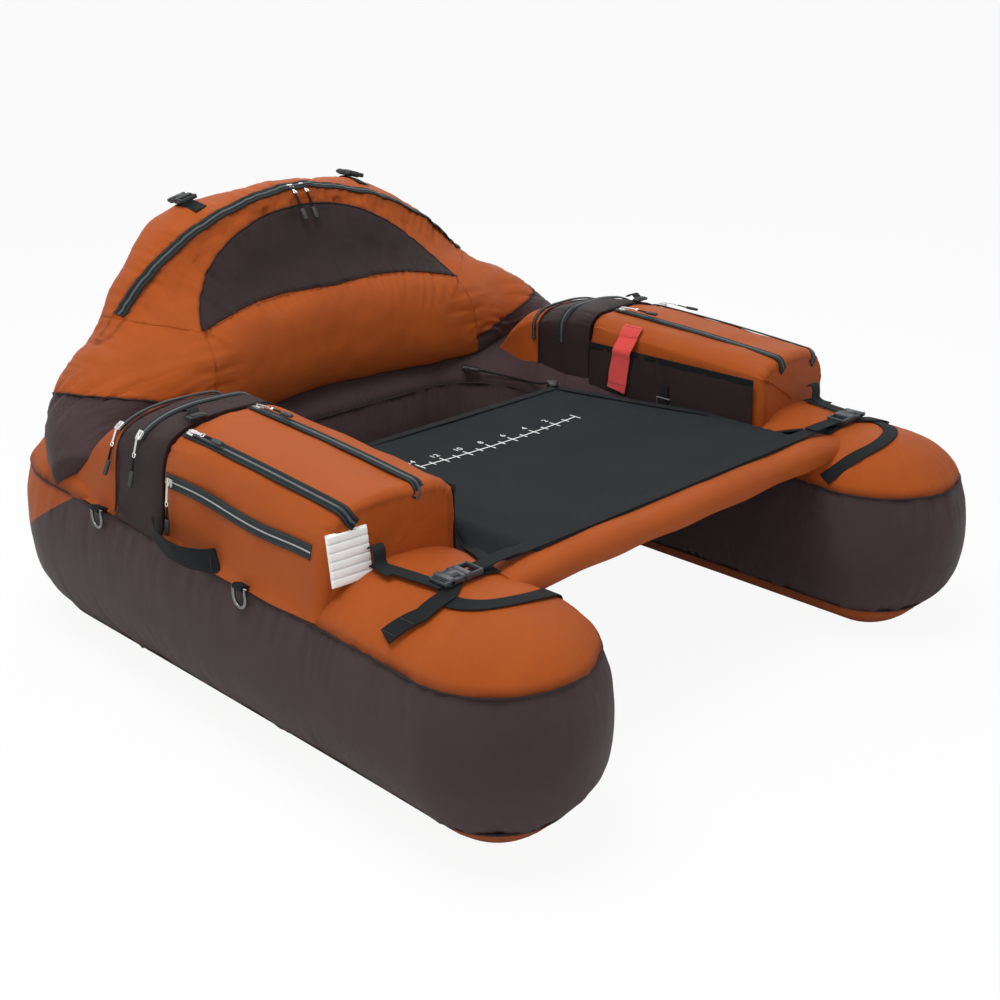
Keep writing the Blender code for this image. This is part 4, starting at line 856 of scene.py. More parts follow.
def rounded_oblong(turn, half_width, half_height, power):
    cosine, sine = math.cos(turn), math.sin(turn)
    return (half_width * math.copysign(abs(cosine) ** (2 / power), cosine),
            half_height * math.copysign(abs(sine) ** (2 / power), sine))


def cushion_place(across, along):
    """across goes round the outline and along from the front's middle over the rim to the back's middle."""
    share = math.sin(math.pi * along)
    fullness = max(0.0, 1 - share ** 2.3) ** (1 / 2.3)
    swell = CUSHION_BULGE * fullness if along < 0.5 else -CUSHION_BACK * fullness
    x, up = rounded_oblong(math.tau * across, CUSHION_HALF_WIDTH, CUSHION_HALF_HEIGHT, 3.2)
    x, up = x * share, up * share
    side = (x / SITTER_HALF_WIDTH) ** 2
    height = CUSHION_MIDDLE + up - CUSHION_DROOP * side
    depth = swell + CUSHION_WRAP * side + CUSHION_FORWARD
    return ARCH_CENTRE + Vector((x, 0, 0)) + height * ARCH_UP + depth * ARCH_FRONT


def wing_place(side, across, along):
    """A round lobe carried down its line, thinner at its foot."""
    spot = round(along * WING_STEPS)
    before, here, after = (Vector(WING_LINE[min(WING_STEPS, max(0, spot + step))][:3]) for step in (-1, 0, 1))
    heading = (after - before).normalized()
    up = (UP - heading * heading.z).normalized()
    out = heading.cross(up)
    turn = math.tau * across
    point = here + float(WING_LINE[spot][3]) * (math.cos(turn) * up + math.sin(turn) * out)
    return Vector((side * point.x, point.y, point.z))


BACK_FORMS = [seal(cloth_sheet(columns, rows, place, (1, 1))) for columns, rows, place in (
    (DOME_COLUMNS, DOME_ROWS, dome_place), (120, 40, cushion_place),
    (WING_STEPS, WING_STEPS, lambda across, along: wing_place(1, across, along)),
    (WING_STEPS, WING_STEPS, lambda across, along: wing_place(-1, across, along)))]
print("dome section runs", round(float(DOME_RUN[-1]), 2), "m round")

# %% [markdown]
# ## One skin over the backrest
# On the real tube these forms are one sewn cover over air, so the hollows between them are soft.
# A voxel remesh makes one skin of the four forms, and the skin is then relaxed only where two
# forms meet. The zip's ridge and the free curves stay as they are.

# %% Remesh and relax
VOXEL = 0.005
BLEND_REACH, BLEND_PULL, BLEND_ROUNDS = 0.040, 0.9, 180
SMOOTH_PULL, SMOOTH_ROUNDS = 0.4, 3


def applied(made):
    """An object's shape with its modifiers, as a bmesh of its own. The object is removed."""
    shape = bpy.data.meshes.new_from_object(made.evaluated_get(bpy.context.evaluated_depsgraph_get()))
    bpy.data.objects.remove(made, do_unlink=True)
    bm = bmesh.new()
    bm.from_mesh(shape)
    bpy.data.meshes.remove(shape)
    return bm


def remeshed(bm, voxel):
    """One closed skin round everything in a bmesh."""
    mesh = bpy.data.meshes.new("skin")
    bm.to_mesh(mesh)
    bm.free()
    holder = link("skin", mesh)
    step = holder.modifiers.new("Skin", "REMESH")
    step.mode, step.voxel_size = "VOXEL", voxel
    return applied(holder)


def relax(bm, weights, rounds):
    """Move each vertex towards the middle of its neighbours, by its own weight."""
    places = np.array([vert.co for vert in bm.verts], float)
    ends = np.array([[edge.verts[0].index, edge.verts[1].index] for edge in bm.edges])
    count = np.bincount(ends.ravel(), minlength=len(places))[:, None]
    share = np.array(weights)[:, None]
    for _ in range(rounds):
        total = np.zeros_like(places)
        np.add.at(total, ends[:, 0], places[ends[:, 1]])
        np.add.at(total, ends[:, 1], places[ends[:, 0]])
        places += (total / count - places) * share
    for vert, place in zip(bm.verts, places):
        vert.co = place


trees = [BVHTree.FromBMesh(form) for form in BACK_FORMS]
skin = remeshed(joined(BACK_FORMS), VOXEL)
skin.verts.index_update()
weights = []
for vert in skin.verts:
    gaps = sorted(tree.find_nearest(vert.co)[3] for tree in trees)
    weights.append(BLEND_PULL * math.exp(-(gaps[1] / BLEND_REACH) ** 2))
relax(skin, [SMOOTH_PULL] * len(weights), SMOOTH_ROUNDS)
relax(skin, weights, BLEND_ROUNDS)
print("backrest skin:", len(skin.faces), "faces")

# %% [markdown]
# ## Seams of the backrest
# The panels meet along straight cuts seen from the front: from the zip's end to the crescent's
# point, down from there to the hull, and a slanted cut above the brown wedge at the shoulder.
# Cutting the skin with planes gives each seam a clean edge, and the gathers follow the same lines.

# %% Where the seams run
ZIP_END_SPOT, CRESCENT_POINT, SEAM_FOOT = (0.396, 0.382), (0.290, 0.348), (0.312, 0.200)
WEDGE_PLANE = (-0.3094, 0.1770, 1.0, 0.3298)
WEDGE_TOP = 0.430


def arch_spot(co):
    """A place as (distance from the middle, height along the arch's lean, depth in front)."""
    offset = co - ARCH_CENTRE
    return abs(co.x), offset.dot(ARCH_UP), offset.dot(ARCH_FRONT)


def line_gap(x, up, start, end):
    """Signed distance from a seam's line in the arch's own plane, above counts as positive."""
    run = Vector(end) - Vector(start)
    gap = Vector((x, up)) - Vector(start)
    return (run.x * gap.y - run.y * gap.x) / run.length


def wedge_gap(co):
    a, b, c, level = WEDGE_PLANE
    slanted = (a * abs(co.x) + b * co.y + c * co.z - level) / math.sqrt(a * a + b * b + c * c)
    return max(slanted, co.z - WEDGE_TOP)


def is_shoulder(x, up):
    return line_gap(x, up, CRESCENT_POINT, ZIP_END_SPOT) < 0 and line_gap(x, up, SEAM_FOOT, CRESCENT_POINT) < 0


def crescent_radii(share):
    top_radius = mix(CRESCENT_TOP, CRESCENT_TIP, abs(share) ** 2.2)
    return top_radius, mix(CRESCENT_FOOT, CRESCENT_TIP, abs(share) ** 1.6)


def nearest_seam(co):
    """How far along its nearest seam a place on the backrest is, and how far from it."""
    x, up, depth = arch_spot(co)
    angle = math.atan2(x, up)
    radius = math.hypot(x, up)
    found = [(angle * ARCH_RADIUS, abs(math.hypot(radius - ARCH_RADIUS, depth) - ZIP_SEAT / 2) + 0.001)]
    if x > CRESCENT_POINT[0]:
        found.append((x + 5, abs(line_gap(x, up, CRESCENT_POINT, ZIP_END_SPOT)) + 0.012))
    if up < CRESCENT_POINT[1]:
        found.append((up + 9, abs(line_gap(x, up, SEAM_FOOT, CRESCENT_POINT)) + 0.004))
    if depth > 0 and abs(angle) < CRESCENT_SPAN:
        for number, edge in enumerate(crescent_radii(angle / CRESCENT_SPAN)):
            found.append((angle * edge + 13 + number, abs(radius - edge)))
    if is_shoulder(x, up):
        found.append((co.y * 2 + co.z + 17, abs(wedge_gap(co))))
    return min(found, key=lambda pair: pair[1])


# %% Cut the skin along its seams
for side in (1, -1):
    for start, end in ((CRESCENT_POINT, ZIP_END_SPOT), (SEAM_FOOT, CRESCENT_POINT)):
        along = Vector((side * (end[0] - start[0]), 0, 0)) + (end[1] - start[1]) * ARCH_UP
        spot = ARCH_CENTRE + Vector((side * start[0], 0, 0)) + start[1] * ARCH_UP
        cut(skin, spot, along.cross(ARCH_FRONT).normalized())
    a, b, c, level = WEDGE_PLANE
    cut(skin, (0, 0, level / c), Vector((side * a, b, c)).normalized())
cut(skin, (0, 0, WEDGE_TOP), UP)

run = skin.verts.layers.float.new("run")
away = skin.verts.layers.float.new("away")
for vert in skin.verts:
    vert[run], vert[away] = nearest_seam(vert.co)


# %% Panels, gathers and folds
def panel_of(face):
    """The panel that a face belongs to."""
    co = face.calc_center_median()
    x, up, depth = arch_spot(co)
    if is_shoulder(x, up):
        side = "left" if co.x > 0 else "right"
        return ("wedge_" if wedge_gap(co) < 0 else "shoulder_") + side
    angle = math.atan2(x, up)
    foot = crescent_radii(min(1.0, angle / CRESCENT_SPAN))[1]
    return "cushion" if depth > -0.01 and math.hypot(x, up) < foot - 0.004 else "dome"


def box_uv(bm):
    """A UV map in metres, laid on each face from the side that it looks to."""
    flat = bm.loops.layers.uv.get("cloth") or bm.loops.layers.uv.new("cloth")
    for face in bm.faces:
        skip = max(range(3), key=lambda axis: abs(face.normal[axis]))
        for loop in face.loops:
            loop[flat].uv = [loop.vert.co[axis] for axis in range(3) if axis != skip]


box_uv(skin)
skin.faces.ensure_lookup_table()
panels = [panel_of(face) for face in skin.faces]
gather(skin, 0.0066, 0.036, 0.018, 23.0)
slacken(skin, 0.0040, 0.11, 29.0)
slacken(skin, 0.0014, 0.035, 31.0)
BACK_TREE = BVHTree.FromBMesh(skin)

# %% Panels as pieces, with a welt on each seam
COVER_WALL, COVER_FILL, SHORTEST_CHAIN = 0.0012, 0.85, 8
WEDGE_WELT, FINE_WELT = 0.0018, 0.0010


def panel_copy(kind):
    """The skin's faces of one panel."""
    copy = skin.copy()
    copy.faces.ensure_lookup_table()
    others = [face for face, name in zip(copy.faces, panels) if name != kind]
    bmesh.ops.delete(copy, geom=others, context="FACES")
    return copy


def seam_lines(first, second):
    """The chains of points where two kinds of panel meet."""
    pairs = {}
    for edge in skin.edges:
        kinds = {panels[face.index].split("_")[0] for face in edge.link_faces}
        if kinds == {first, second}:
            a, b = edge.verts
            pairs.setdefault(a, []).append(b)
            pairs.setdefault(b, []).append(a)
    chains = []
    while pairs:
        start = min(pairs, key=lambda vert: (len(pairs[vert]), vert.index))
        chain = [start]
        while pairs.get(chain[-1]):
            here = chain[-1]
            after = pairs[here].pop()
            pairs[after].remove(here)
            if not pairs[here]:
                del pairs[here]
            if not pairs[after]:
                del pairs[after]
            chain.append(after)
        pairs.pop(chain[-1], None)
        pairs.pop(start, None)
        if len(chain) > SHORTEST_CHAIN:
            chains.append([vert.co.copy() for vert in chain])
    return chains


for name, kind, surface, nodes in (
        ("storage_dome_cover", "dome", ORANGE, ("storage_dome",)),
        ("back_cushion_cover", "cushion", ORANGE, ("back_cushion",)),
        ("back_shoulder_left", "shoulder_left", ORANGE, ("back_wing_left",)),
        ("back_shoulder_right", "shoulder_right", ORANGE, ("back_wing_right",)),
        ("back_wedge_left", "wedge_left", BROWN, ()),
        ("back_wedge_right", "wedge_right", BROWN, ())):
    made = piece(name, panel_copy(kind), surface, replaces=nodes, shade_reach=COVER_SHADE)
    thicken(made, COVER_WALL)
    print(name, len(made.data.polygons), "faces")

for first, second, radius, surface in (
        ("shoulder", "wedge", WEDGE_WELT, DEEP), ("shoulder", "cushion", FINE_WELT, ORANGE),
        ("dome", "shoulder", FINE_WELT, ORANGE)):
    for number, chain in enumerate(seam_lines(first, second)):
        welt = smooth_points(chain[::3] + [chain[-1]], len(chain))
        piece("back_seam_%s_%s_%d" % (first, second, number), cord_tube(welt, radius), surface)

# %% [markdown]
# ## The crescent on the dome
# A brown crescent is sewn on the dome's front. Its outline is two arcs that meet at points, so it
# is a grid between the two arcs, laid on the skin with a ray for each of its points.

# %% Crescent panel
FACING_LIFT, FACING_WALL, CRESCENT_WELT, RAY_REACH = 0.0016, 0.0010, 0.0014, 0.12


def on_back(place, direction, lift=0.0):
    """The skin under a place, looked at along a direction, lifted off along the cloth's normal."""
    hit, normal, _, _ = BACK_TREE.ray_cast(place - direction * RAY_REACH, direction)
    if hit is None:
        hit, normal, _, _ = BACK_TREE.find_nearest(place)
    if normal.dot(direction) > 0:
        normal = -normal
    return hit + normal * lift, normal


def crescent_place(across, along):
    share = 2 * across - 1
    upper, lower = crescent_radii(share)
    edge = min(along, 1 - along) * (upper - lower)
    radius = mix(lower, upper, along)
    lift = 0.0004 + FACING_LIFT * min(1.0, edge / 0.003)
    return on_back(arch_place(share * CRESCENT_SPAN, radius, 0.1), -ARCH_FRONT, lift)[0]


crescent = seal(cloth_sheet(150, 30, crescent_place, (0.6, 0.14)), fill=False)
made = piece("back_crescent_cover", crescent, DEEP, replaces=("back_crescent_panel",))
thicken(made, FACING_WALL)

for number, name in enumerate(("top", "foot")):
    edge = []
    for step in shares(90):
        share = 2 * step - 1
        place = arch_place(share * CRESCENT_SPAN, crescent_radii(share)[number], 0.1)
        edge.append(on_back(place, -ARCH_FRONT, 0.0012)[0])
    piece("crescent_welt_" + name, cord_tube(edge, CRESCENT_WELT), DEEP)

# %% [markdown]
# ## Armrest pockets
# Each armrest is a row of three bags on the pontoon: an orange one in front with two zips on top and
# one at the side, a brown one with a zip over its top, and an orange one that reaches the shoulder.
# A bag is a section swept along the pontoon through stations, which also give the zips their place.

# %% The armrest's section
POCKET_X, POCKET_WIDTH, POCKET_HEIGHT, POCKET_FOOT = 0.353, 0.22, 0.135, 0.295
POCKET_FRONT, POCKET_LENGTH, BAND_LENGTH, REAR_REACH = -0.335, 0.395, 0.13, 0.150
POCKET_SHARES = (
    (0.0, 0.1), (0.0, 0.72), (0.03, 0.86), (0.10, 0.945), (0.18, 0.972), (0.38, 0.985), (0.54, 0.98),
    (0.72, 0.935), (0.86, 0.845), (0.93, 0.74), (0.965, 0.60), (0.985, 0.39), (0.99, -0.04),
)
POCKET_POINTS = 73
SECTION = smooth_points(POCKET_SHARES, POCKET_POINTS)
SECTION = SECTION * (POCKET_WIDTH, POCKET_HEIGHT) + (POCKET_X, POCKET_FOOT)
POCKET_REAR = POCKET_FRONT + POCKET_LENGTH
BAND_END = POCKET_REAR + BAND_LENGTH
BAG_CENTRE = np.array([POCKET_X + POCKET_WIDTH / 2, POCKET_FOOT + 0.05])
FOOT_FLARE, POCKET_CLIMB, BAND_FALL, TOP_SHARE = 0.0125, 0.024, 0.015, 0.8


def pocket_rise(y):
    """The armrest's top climbs evenly to the band and comes down a little over it."""
    behind = min(1.0, max(0.0, y - POCKET_REAR) / BAND_LENGTH)
    return POCKET_CLIMB * min(1.0, (y - POCKET_FRONT) / POCKET_LENGTH) - BAND_FALL * behind ** 2


def pocket_point(side, share, y, swell=0.0, sweep=0.0, shrink=1.0, keep=1.0):
    """A place on an armrest bag: share runs from the inner foot over the top to the outer foot."""
    spot = share * (POCKET_POINTS - 1)
    first = min(POCKET_POINTS - 2, max(0, int(spot)))
    here = SECTION[first] + (SECTION[first + 1] - SECTION[first]) * (spot - first)
    edge = SECTION[min(POCKET_POINTS - 1, first + 1)] - SECTION[max(0, first - 1)]
    out = np.array([-edge[1], edge[0]]) / max(1e-9, float(np.hypot(*edge)))
    here = BAG_CENTRE + (here + out * swell - BAG_CENTRE) * shrink
    here[1] = POCKET_FOOT + (here[1] - POCKET_FOOT) * (keep if here[1] > POCKET_FOOT else 1.0)
    skirt = max(0.0, (share - 0.87) / 0.13) ** 2 * max(0.0, (shrink - 0.7) / 0.3)
    here = here + (FOOT_FLARE * skirt, (seam_height(y) + 0.002 - here[1]) * skirt)
    back = sweep * (here[0] - POCKET_X) / POCKET_WIDTH
    level = min(1.0, max(0.0, (here[1] - POCKET_FOOT) / POCKET_HEIGHT) / 0.8)
    return Vector((side * here[0], y + back, here[1] + pocket_rise(y + back) * level * keep))


def bag(side, stations):
    """A closed bag through stations, its floor on the pontoon. A station is y, swell, sweep, shrink and keep."""
    count = len(stations)

    def place(across, along):
        station = stations[round(along * (count - 1))]
        if across <= TOP_SHARE:
            return pocket_point(side, across / TOP_SHARE, *station)
        share = (across - TOP_SHARE) / (1 - TOP_SHARE)
        return pocket_point(side, 1.0, *station).lerp(pocket_point(side, 0.0, *station), share)

    def seams(across, along):
        station = stations[round(along * (count - 1))]
        if station[3] < 0.97:
            return across * 0.55, 0.3
        return across * 0.55, min(station[0] - stations[0][0], stations[-1][0] - station[0]) + 0.003

    return seal(cloth_sheet(130, count - 1, place, (0.6, stations[-1][0] - stations[0][0]), seams))


# %% Bags
FRONT_SWEEP, FRONT_EDGE, BAG_SHADE, BAG_WELT = 0.022, 0.014, 0.003, 0.0017


def front_face(shrinks):
    return [(POCKET_FRONT, -FRONT_EDGE, FRONT_SWEEP, shrink) for shrink in shrinks]


def front_edge_stations():
    rows = []
    for share in shares(6)[1:]:
        turn = math.pi / 2 * share
        rows.append((POCKET_FRONT + FRONT_EDGE * (1 - math.cos(turn)), -FRONT_EDGE * (1 - math.sin(turn)),
                     FRONT_SWEEP, 1.0))
    return rows


def body_station(y):
    share = min(1.0, max(0.0, (y - POCKET_FRONT - FRONT_EDGE) / (POCKET_LENGTH - FRONT_EDGE)))
    tuck = 0.006 * max(0.0, (share - 0.94) / 0.06) ** 2
    return (y, 0.0030 * math.sin(math.pi * share) - tuck, FRONT_SWEEP * (1 - share), 1.0)


def band_station(share):
    round_end = 0.0048 * (1 - abs(2 * share - 1) ** 5)
    return (mix(POCKET_REAR, BAND_END - 0.0005, share), round_end - 0.0015, 0.0, 1.0)


def rear_station(share):
    puff = 0.0045 * math.sin(math.pi * min(1, share * 1.4)) - 0.0005
    slope = 0.97 * max(0.0, 1 - share ** 1.6) ** 0.85 + 0.03
    return (mix(BAND_END, BAND_END + REAR_REACH, share), puff, 0.0, 1.0, slope)


front_rows = front_face((0.02, 0.25, 0.5, 0.7, 0.85, 0.95, 1.0)) + front_edge_stations()
front_rows += [body_station(mix(POCKET_FRONT + FRONT_EDGE, POCKET_REAR - 0.0005, share)) for share in shares(89)[1:]]
BAGS = (
    ("armrest_bag_", front_rows, ORANGE, "armrest_pocket_", 47.0),
    ("armrest_band_bag_", [band_station(share) for share in shares(36)], DEEP, "armrest_band_", 53.0),
    ("armrest_rear_bag_", [rear_station(share) for share in shares(30)], ORANGE, "armrest_rear_pocket_", 59.0),
)
for name, side in SIDES:
    for label, rows, surface, node_name, seed in BAGS:
        made = bag(side, rows)
        gather(made, 0.0030, 0.022, 0.024, seed + side)
        slacken(made, 0.0034, 0.075, seed + side)
        slacken(made, 0.0016, 0.030, seed + 2 * side, (1.0, 0.3, 1.0))
        piece(label + name, made, surface, replaces=(node_name + name,), shade_reach=BAG_SHADE)
    for label, y, swell in (("front", POCKET_REAR, 0.0005), ("rear", BAND_END, 0.0008)):
        line = [pocket_point(side, 0.02 + 0.96 * share, y, swell) for share in shares(60)]
        piece("armrest_welt_%s_%s" % (label, name), cord_tube(line, BAG_WELT), DEEP)
print("armrest bags:", 2 * len(BAGS))

# %% [markdown]
# ## Zips
# A zip here is a woven tape with a nylon coil along its middle. The coil is a row of small turns,
# so a half-round bead whose height goes up and down once a turn shows it with few faces. Every
# slider has a plated body with a bridge, a flat metal pull, two strands of cord and a rubber tab.

# %% Zip tapes and coils
COIL_PITCH, COIL_SEAT, COIL_RISE, COIL_TURN = 0.0026, 0.0008, 0.0017, (0.55, 1.0, 1.0)
STITCH_EDGE, STITCH_LIFT = 0.38, 0.0009


def zip_run(name, spots, normals, replaces=(), width=0.018, lift=0.0012, teeth=COIL, half=0.0020, tape=TAPE):
    """A tape and a coil along points on the cloth, with the cloth's normals."""
    flats = [heading.cross(normal) for heading, normal in zip(headings(spots), normals)]
    raised = [spot + normal * lift for spot, normal in zip(spots, normals)]
    webbing("zip_tape_" + name, raised, flats, width, surface=tape, replaces=replaces)
    length = length_of(spots)
    turns = int(length / COIL_PITCH)
    fine, ups, wide = (smooth_points(line, turns * 3 + 1) for line in (raised, normals, flats))

    def place(across, along):
        spot = round(along * turns * 3)
        up, flat = Vector(ups[spot]).normalized(), Vector(wide[spot]).normalized()
        turn = math.tau * across
        rise = COIL_SEAT + COIL_RISE * COIL_TURN[spot % 3] * math.sin(turn)
        return Vector(fine[spot]) + up * rise + flat * (half * math.cos(turn))

    piece("zip_coil_" + name, seal(cloth_sheet(10, turns * 3, place, (0.01, length))), teeth)
    for label, edge in (("a", STITCH_EDGE), ("b", -STITCH_EDGE)):
        row = [spot + normal * STITCH_LIFT + flat * width * edge for spot, normal, flat in zip(raised, normals, flats)]
        stitch_row("zip_stitch_%s_%s" % (name, label), row, normals)


# %% Sliders and their pulls
# Each block of a slider: its size, how far up and forward it sits, its rounded edge and its segments.
SLIDER_BLOCKS = (
    ((0.0115, 0.0150, 0.0014), 0.0036, 0.0, 0.0006, 3), ((0.0095, 0.0130, 0.0012), 0.0008, 0.0, 0.0005, 2),
    ((0.0030, 0.0120, 0.0013), 0.0062, 0.0, 0.0006, 2), ((0.0030, 0.0018, 0.0030), 0.0048, 0.0050, 0.0005, 2),
    ((0.0030, 0.0018, 0.0030), 0.0048, -0.0050, 0.0005, 2), ((0.0022, 0.0030, 0.0030), 0.0022, 0.0062, 0.0006, 2),
)
PULL_WIDTH, PULL_WALL, EYE_RADIUS, EYE_WIRE, PULL_CORD = 0.0050, 0.0015, 0.0033, 0.0010, 0.0011
TAB_SIZE, TAB_RIBS = (0.0082, 0.0048), (0.35, 0.55, 0.75)


def slider_pieces(name, seat, along, normal, pull_path, body="tube"):
    """A plated slider body with a bridge, and its metal pull ending in a cord and a rubber tab."""
    turn = basis(along.cross(normal).normalized(), along, normal)
    parts = [block(size, seat + normal * up + along * forth, turn, edge, segments)
             for size, up, forth, edge, segments in SLIDER_BLOCKS]
    piece(name + "_body", joined(parts), CHROME, body=body, replaces=() if body == "tube" else (body,))
    start, knee, hang, end = pull_path
    heading = (knee - start).normalized()
    flat = heading.cross(normal).normalized()
    plate = strap(smooth_points([start, knee], 6), flat, PULL_WIDTH, PULL_WALL)
    eye = [knee + (heading * math.cos(angle) + flat * math.sin(angle)) * EYE_RADIUS + heading * 0.002
           for angle in np.linspace(0, math.tau, 13)[:-1]]
    piece(name + "_pull", joined([plate, cord_tube(eye, EYE_WIRE, closed=True)]), CHROME, body=body)
    strand = smooth_points([knee, hang, hang.lerp(end, 0.4)], 16)
    for sign, label in ((-1, "a"), (1, "b")):
        line = [Vector(point) + flat * (0.0020 * sign * math.sin(math.pi * share))
                for point, share in zip(strand, shares(15))]
        piece(name + "_cord_" + label, cord_tube(line, PULL_CORD), WEBBING, body=body)
    heading = (end - hang).normalized()
    flat = heading.cross(normal).normalized()
    turn = basis(flat, heading, flat.cross(heading))
    parts = [block((TAB_SIZE[0], (end - hang).length, TAB_SIZE[1]), (hang + end) / 2, turn, 0.0016, 3)]
    parts += [block((0.0070, 0.0014, 0.0054), hang.lerp(end, share), turn, 0.0005) for share in TAB_RIBS]
    piece(name + "_tab", joined(parts), RUBBER, body=body)


def outward(side, normal, spot, y):
    """A normal turned away from the bag's middle line."""
    normal = normal.normalized()
    return normal if normal.dot(spot - Vector((side * BAG_CENTRE[0], y, BAG_CENTRE[1]))) > 0 else -normal


def bag_line(side, share, stations, swell=0.0):
    """Places and outward normals along one line of a bag."""
    spots = [pocket_point(side, share, y, own + swell, sweep, shrink) for y, own, sweep, shrink in stations]
    normals = []
    for station, spot, heading in zip(stations, spots, headings(spots)):
        over = pocket_point(side, share + 0.02, *station) - pocket_point(side, share - 0.02, *station)
        normals.append(outward(side, over.cross(heading), spot, station[0] + 0.10))
    return spots, normals


# %% Zips of the armrests
ZIP_SHARES = (("inner", 4.5 / 12, 0.11), ("outer", 7.5 / 12, 0.13))
SIDE_ZIP_SHARE, SIDE_ZIP_WAVE = 10.5 / 12, 0.0036
ZIP_END = POCKET_REAR - 0.014
ZIP_LIFT, SLIDER_LIFT = 0.001, 0.0025
PULL_STOPS = ((0.0064, 0.0), (0.0068, 0.030), (0.0048, 0.056), (0.0046, 0.080))
CROSS_ZIPS = (
    ("band", POCKET_REAR + 0.066, 0.0036, 0.74, 0.018, 0.0023), ("rear", BAND_END + 0.012, 0.0010, 0.70, 0.009, 0.0014))


def hanging_pull(base, normal, way):
    """The pull's path from the slider's bridge along a direction, just over the cloth."""
    return [base + normal * up + way * reach for up, reach in PULL_STOPS]


def over_front(drop):
    """Stations from the front face, over the edge and back along the top."""
    rows = front_face(np.linspace(1 - drop, 0.995, 4)) + front_edge_stations()
    return rows + [body_station(mix(POCKET_FRONT + FRONT_EDGE + 0.006, ZIP_END, share)) for share in shares(40)]


def rear_slider(name, spots, normals, hangs=False):
    """The slider at a zip's rear end, with its pull along the zip or hanging down the bag's side."""
    seat, normal = spots[-3], normals[-3]
    way = (seat - spots[-1]).normalized()
    base = seat + normal * SLIDER_LIFT
    down = normal.cross(way).normalized()
    down = down if down.z < 0 else -down
    slider_pieces(name, base, way, normal, hanging_pull(base, normal, down if hangs else way), name)


for name, side in SIDES:
    for zip_name, share, drop in ZIP_SHARES:
        label = "%s_%s" % (zip_name, name)
        spots, normals = bag_line(side, share, over_front(drop), ZIP_LIFT)
        zip_run("top_" + label, spots, normals, ("top_zip_tape_" + label,))
        rear_slider("top_zip_slider_" + label, spots, normals)
    rows = [body_station(mix(POCKET_FRONT + 0.02, ZIP_END, share)) for share in shares(40)]
    spots, normals = bag_line(side, SIDE_ZIP_SHARE, rows, ZIP_LIFT)
    for spot, step in zip(spots, shares(40)):
        share = 1 - step
        spot.z += SIDE_ZIP_WAVE * math.sin(math.tau * share * 1.1) * (1 - abs(2 * share - 1) ** 3)
    zip_run("side_" + name, spots, normals, ("side_zip_tape_" + name,), width=0.021, teeth=BRIGHT_COIL, half=0.0012,
            tape=PALE_TAPE)
    rear_slider("side_zip_slider_" + name, spots, normals, hangs=True)

    for zip_name, y, swell, last, width, half in CROSS_ZIPS:
        spots = [pocket_point(side, mix(0.06, last, share), y, swell) for share in shares(40)]
        normals = [outward(side, heading.cross(ALONG), spot, spot.y) for spot, heading in zip(spots, headings(spots))]
        zip_run("%s_%s" % (zip_name, name), spots, normals, width=width, lift=0.0010, half=half)
        along = (spots[-1] - spots[-3]).normalized()
        base = spots[-2] + normals[-2] * SLIDER_LIFT
        pull = hanging_pull(base, normals[-1], along.lerp(-UP, 0.55).normalized())
        slider_pieces("%s_zip_slider_%s" % (zip_name, name), base, along, normals[-2], pull)

# %% Strap buckle between the zips
STRAP_BUCKLE = (
    ((0.030, 0.014, 0.0050), (0, 0, 0.003), 0.0018, 3), ((0.022, 0.004, 0.0020), (0, -0.003, 0.0060), 0.0007, 2),
    ((0.022, 0.003, 0.0020), (0, 0.003, 0.0060), 0.0007, 2))
STRAP_TAIL = ((0, 0.004, 0.004), (0.004, 0.018, 0.010), (0.006, 0.030, 0.006), (0.004, 0.036, 0.002))
for name, side in SIDES:
    spot = pocket_point(side, 6.7 / 12, POCKET_REAR + 0.002, 0.004)
    parts = [block(size, spot + Vector(shift), None, edge, segments) for size, shift, edge, segments in STRAP_BUCKLE]
    piece("armrest_strap_buckle_" + name, joined(parts), PLASTIC)
    webbing("armrest_strap_tail_" + name, smooth_points(near(spot, STRAP_TAIL), 14), ACROSS, 0.018, 0.0015)

# %% The dome's arched zip
ZIP_SPAN, SLIDER_ANGLE, PULL_FALL = math.radians(45.3), math.radians(1.4), math.radians(27)


def zip_seat(angle):
    """A place on the zip's ridge, the arch's radial there and the way that the zip faces."""
    place = arch_place(angle, ARCH_RADIUS, 0)
    radial = (place - ARCH_CENTRE).normalized()
    return place, radial, (radial * math.cos(SEAT_TILT) + ARCH_FRONT * math.sin(SEAT_TILT)).normalized()


zip_spots, zip_normals = [], []
for share in shares(80):
    place, _, normal = zip_seat(mix(-ZIP_SPAN, ZIP_SPAN, share))
    zip_spots.append(on_back(place, -normal, 0.001)[0])
    zip_normals.append(normal)
zip_run("dome", zip_spots, zip_normals, ("dome_zip_tape",), width=0.022)

for name, side in SIDES:
    place, radial, normal = zip_seat(side * SLIDER_ANGLE)
    down = (ARCH_FRONT * math.cos(SEAT_TILT) - radial * math.sin(SEAT_TILT)).normalized()
    base = place + normal * 0.003
    lean = math.pi / 2 - SEAT_TILT - PULL_FALL
    fall = down * math.cos(lean) - normal * math.sin(lean)
    knee = base + down * 0.017 + normal * 0.002
    pull = [base + normal * 0.0045, knee, knee + fall * 0.034, knee + fall * 0.056]
    label = "dome_zip_slider_" + name
    slider_pieces(label, base, down.cross(normal), normal, pull, label)
print("zips closed")

# %% [markdown]
# ## The lap apron
# The apron is a dark mesh panel between the armrests, bound at its edges, with a ruler printed
# across it for measuring a catch. The print is a thin raised film, so it is made of thin pieces.

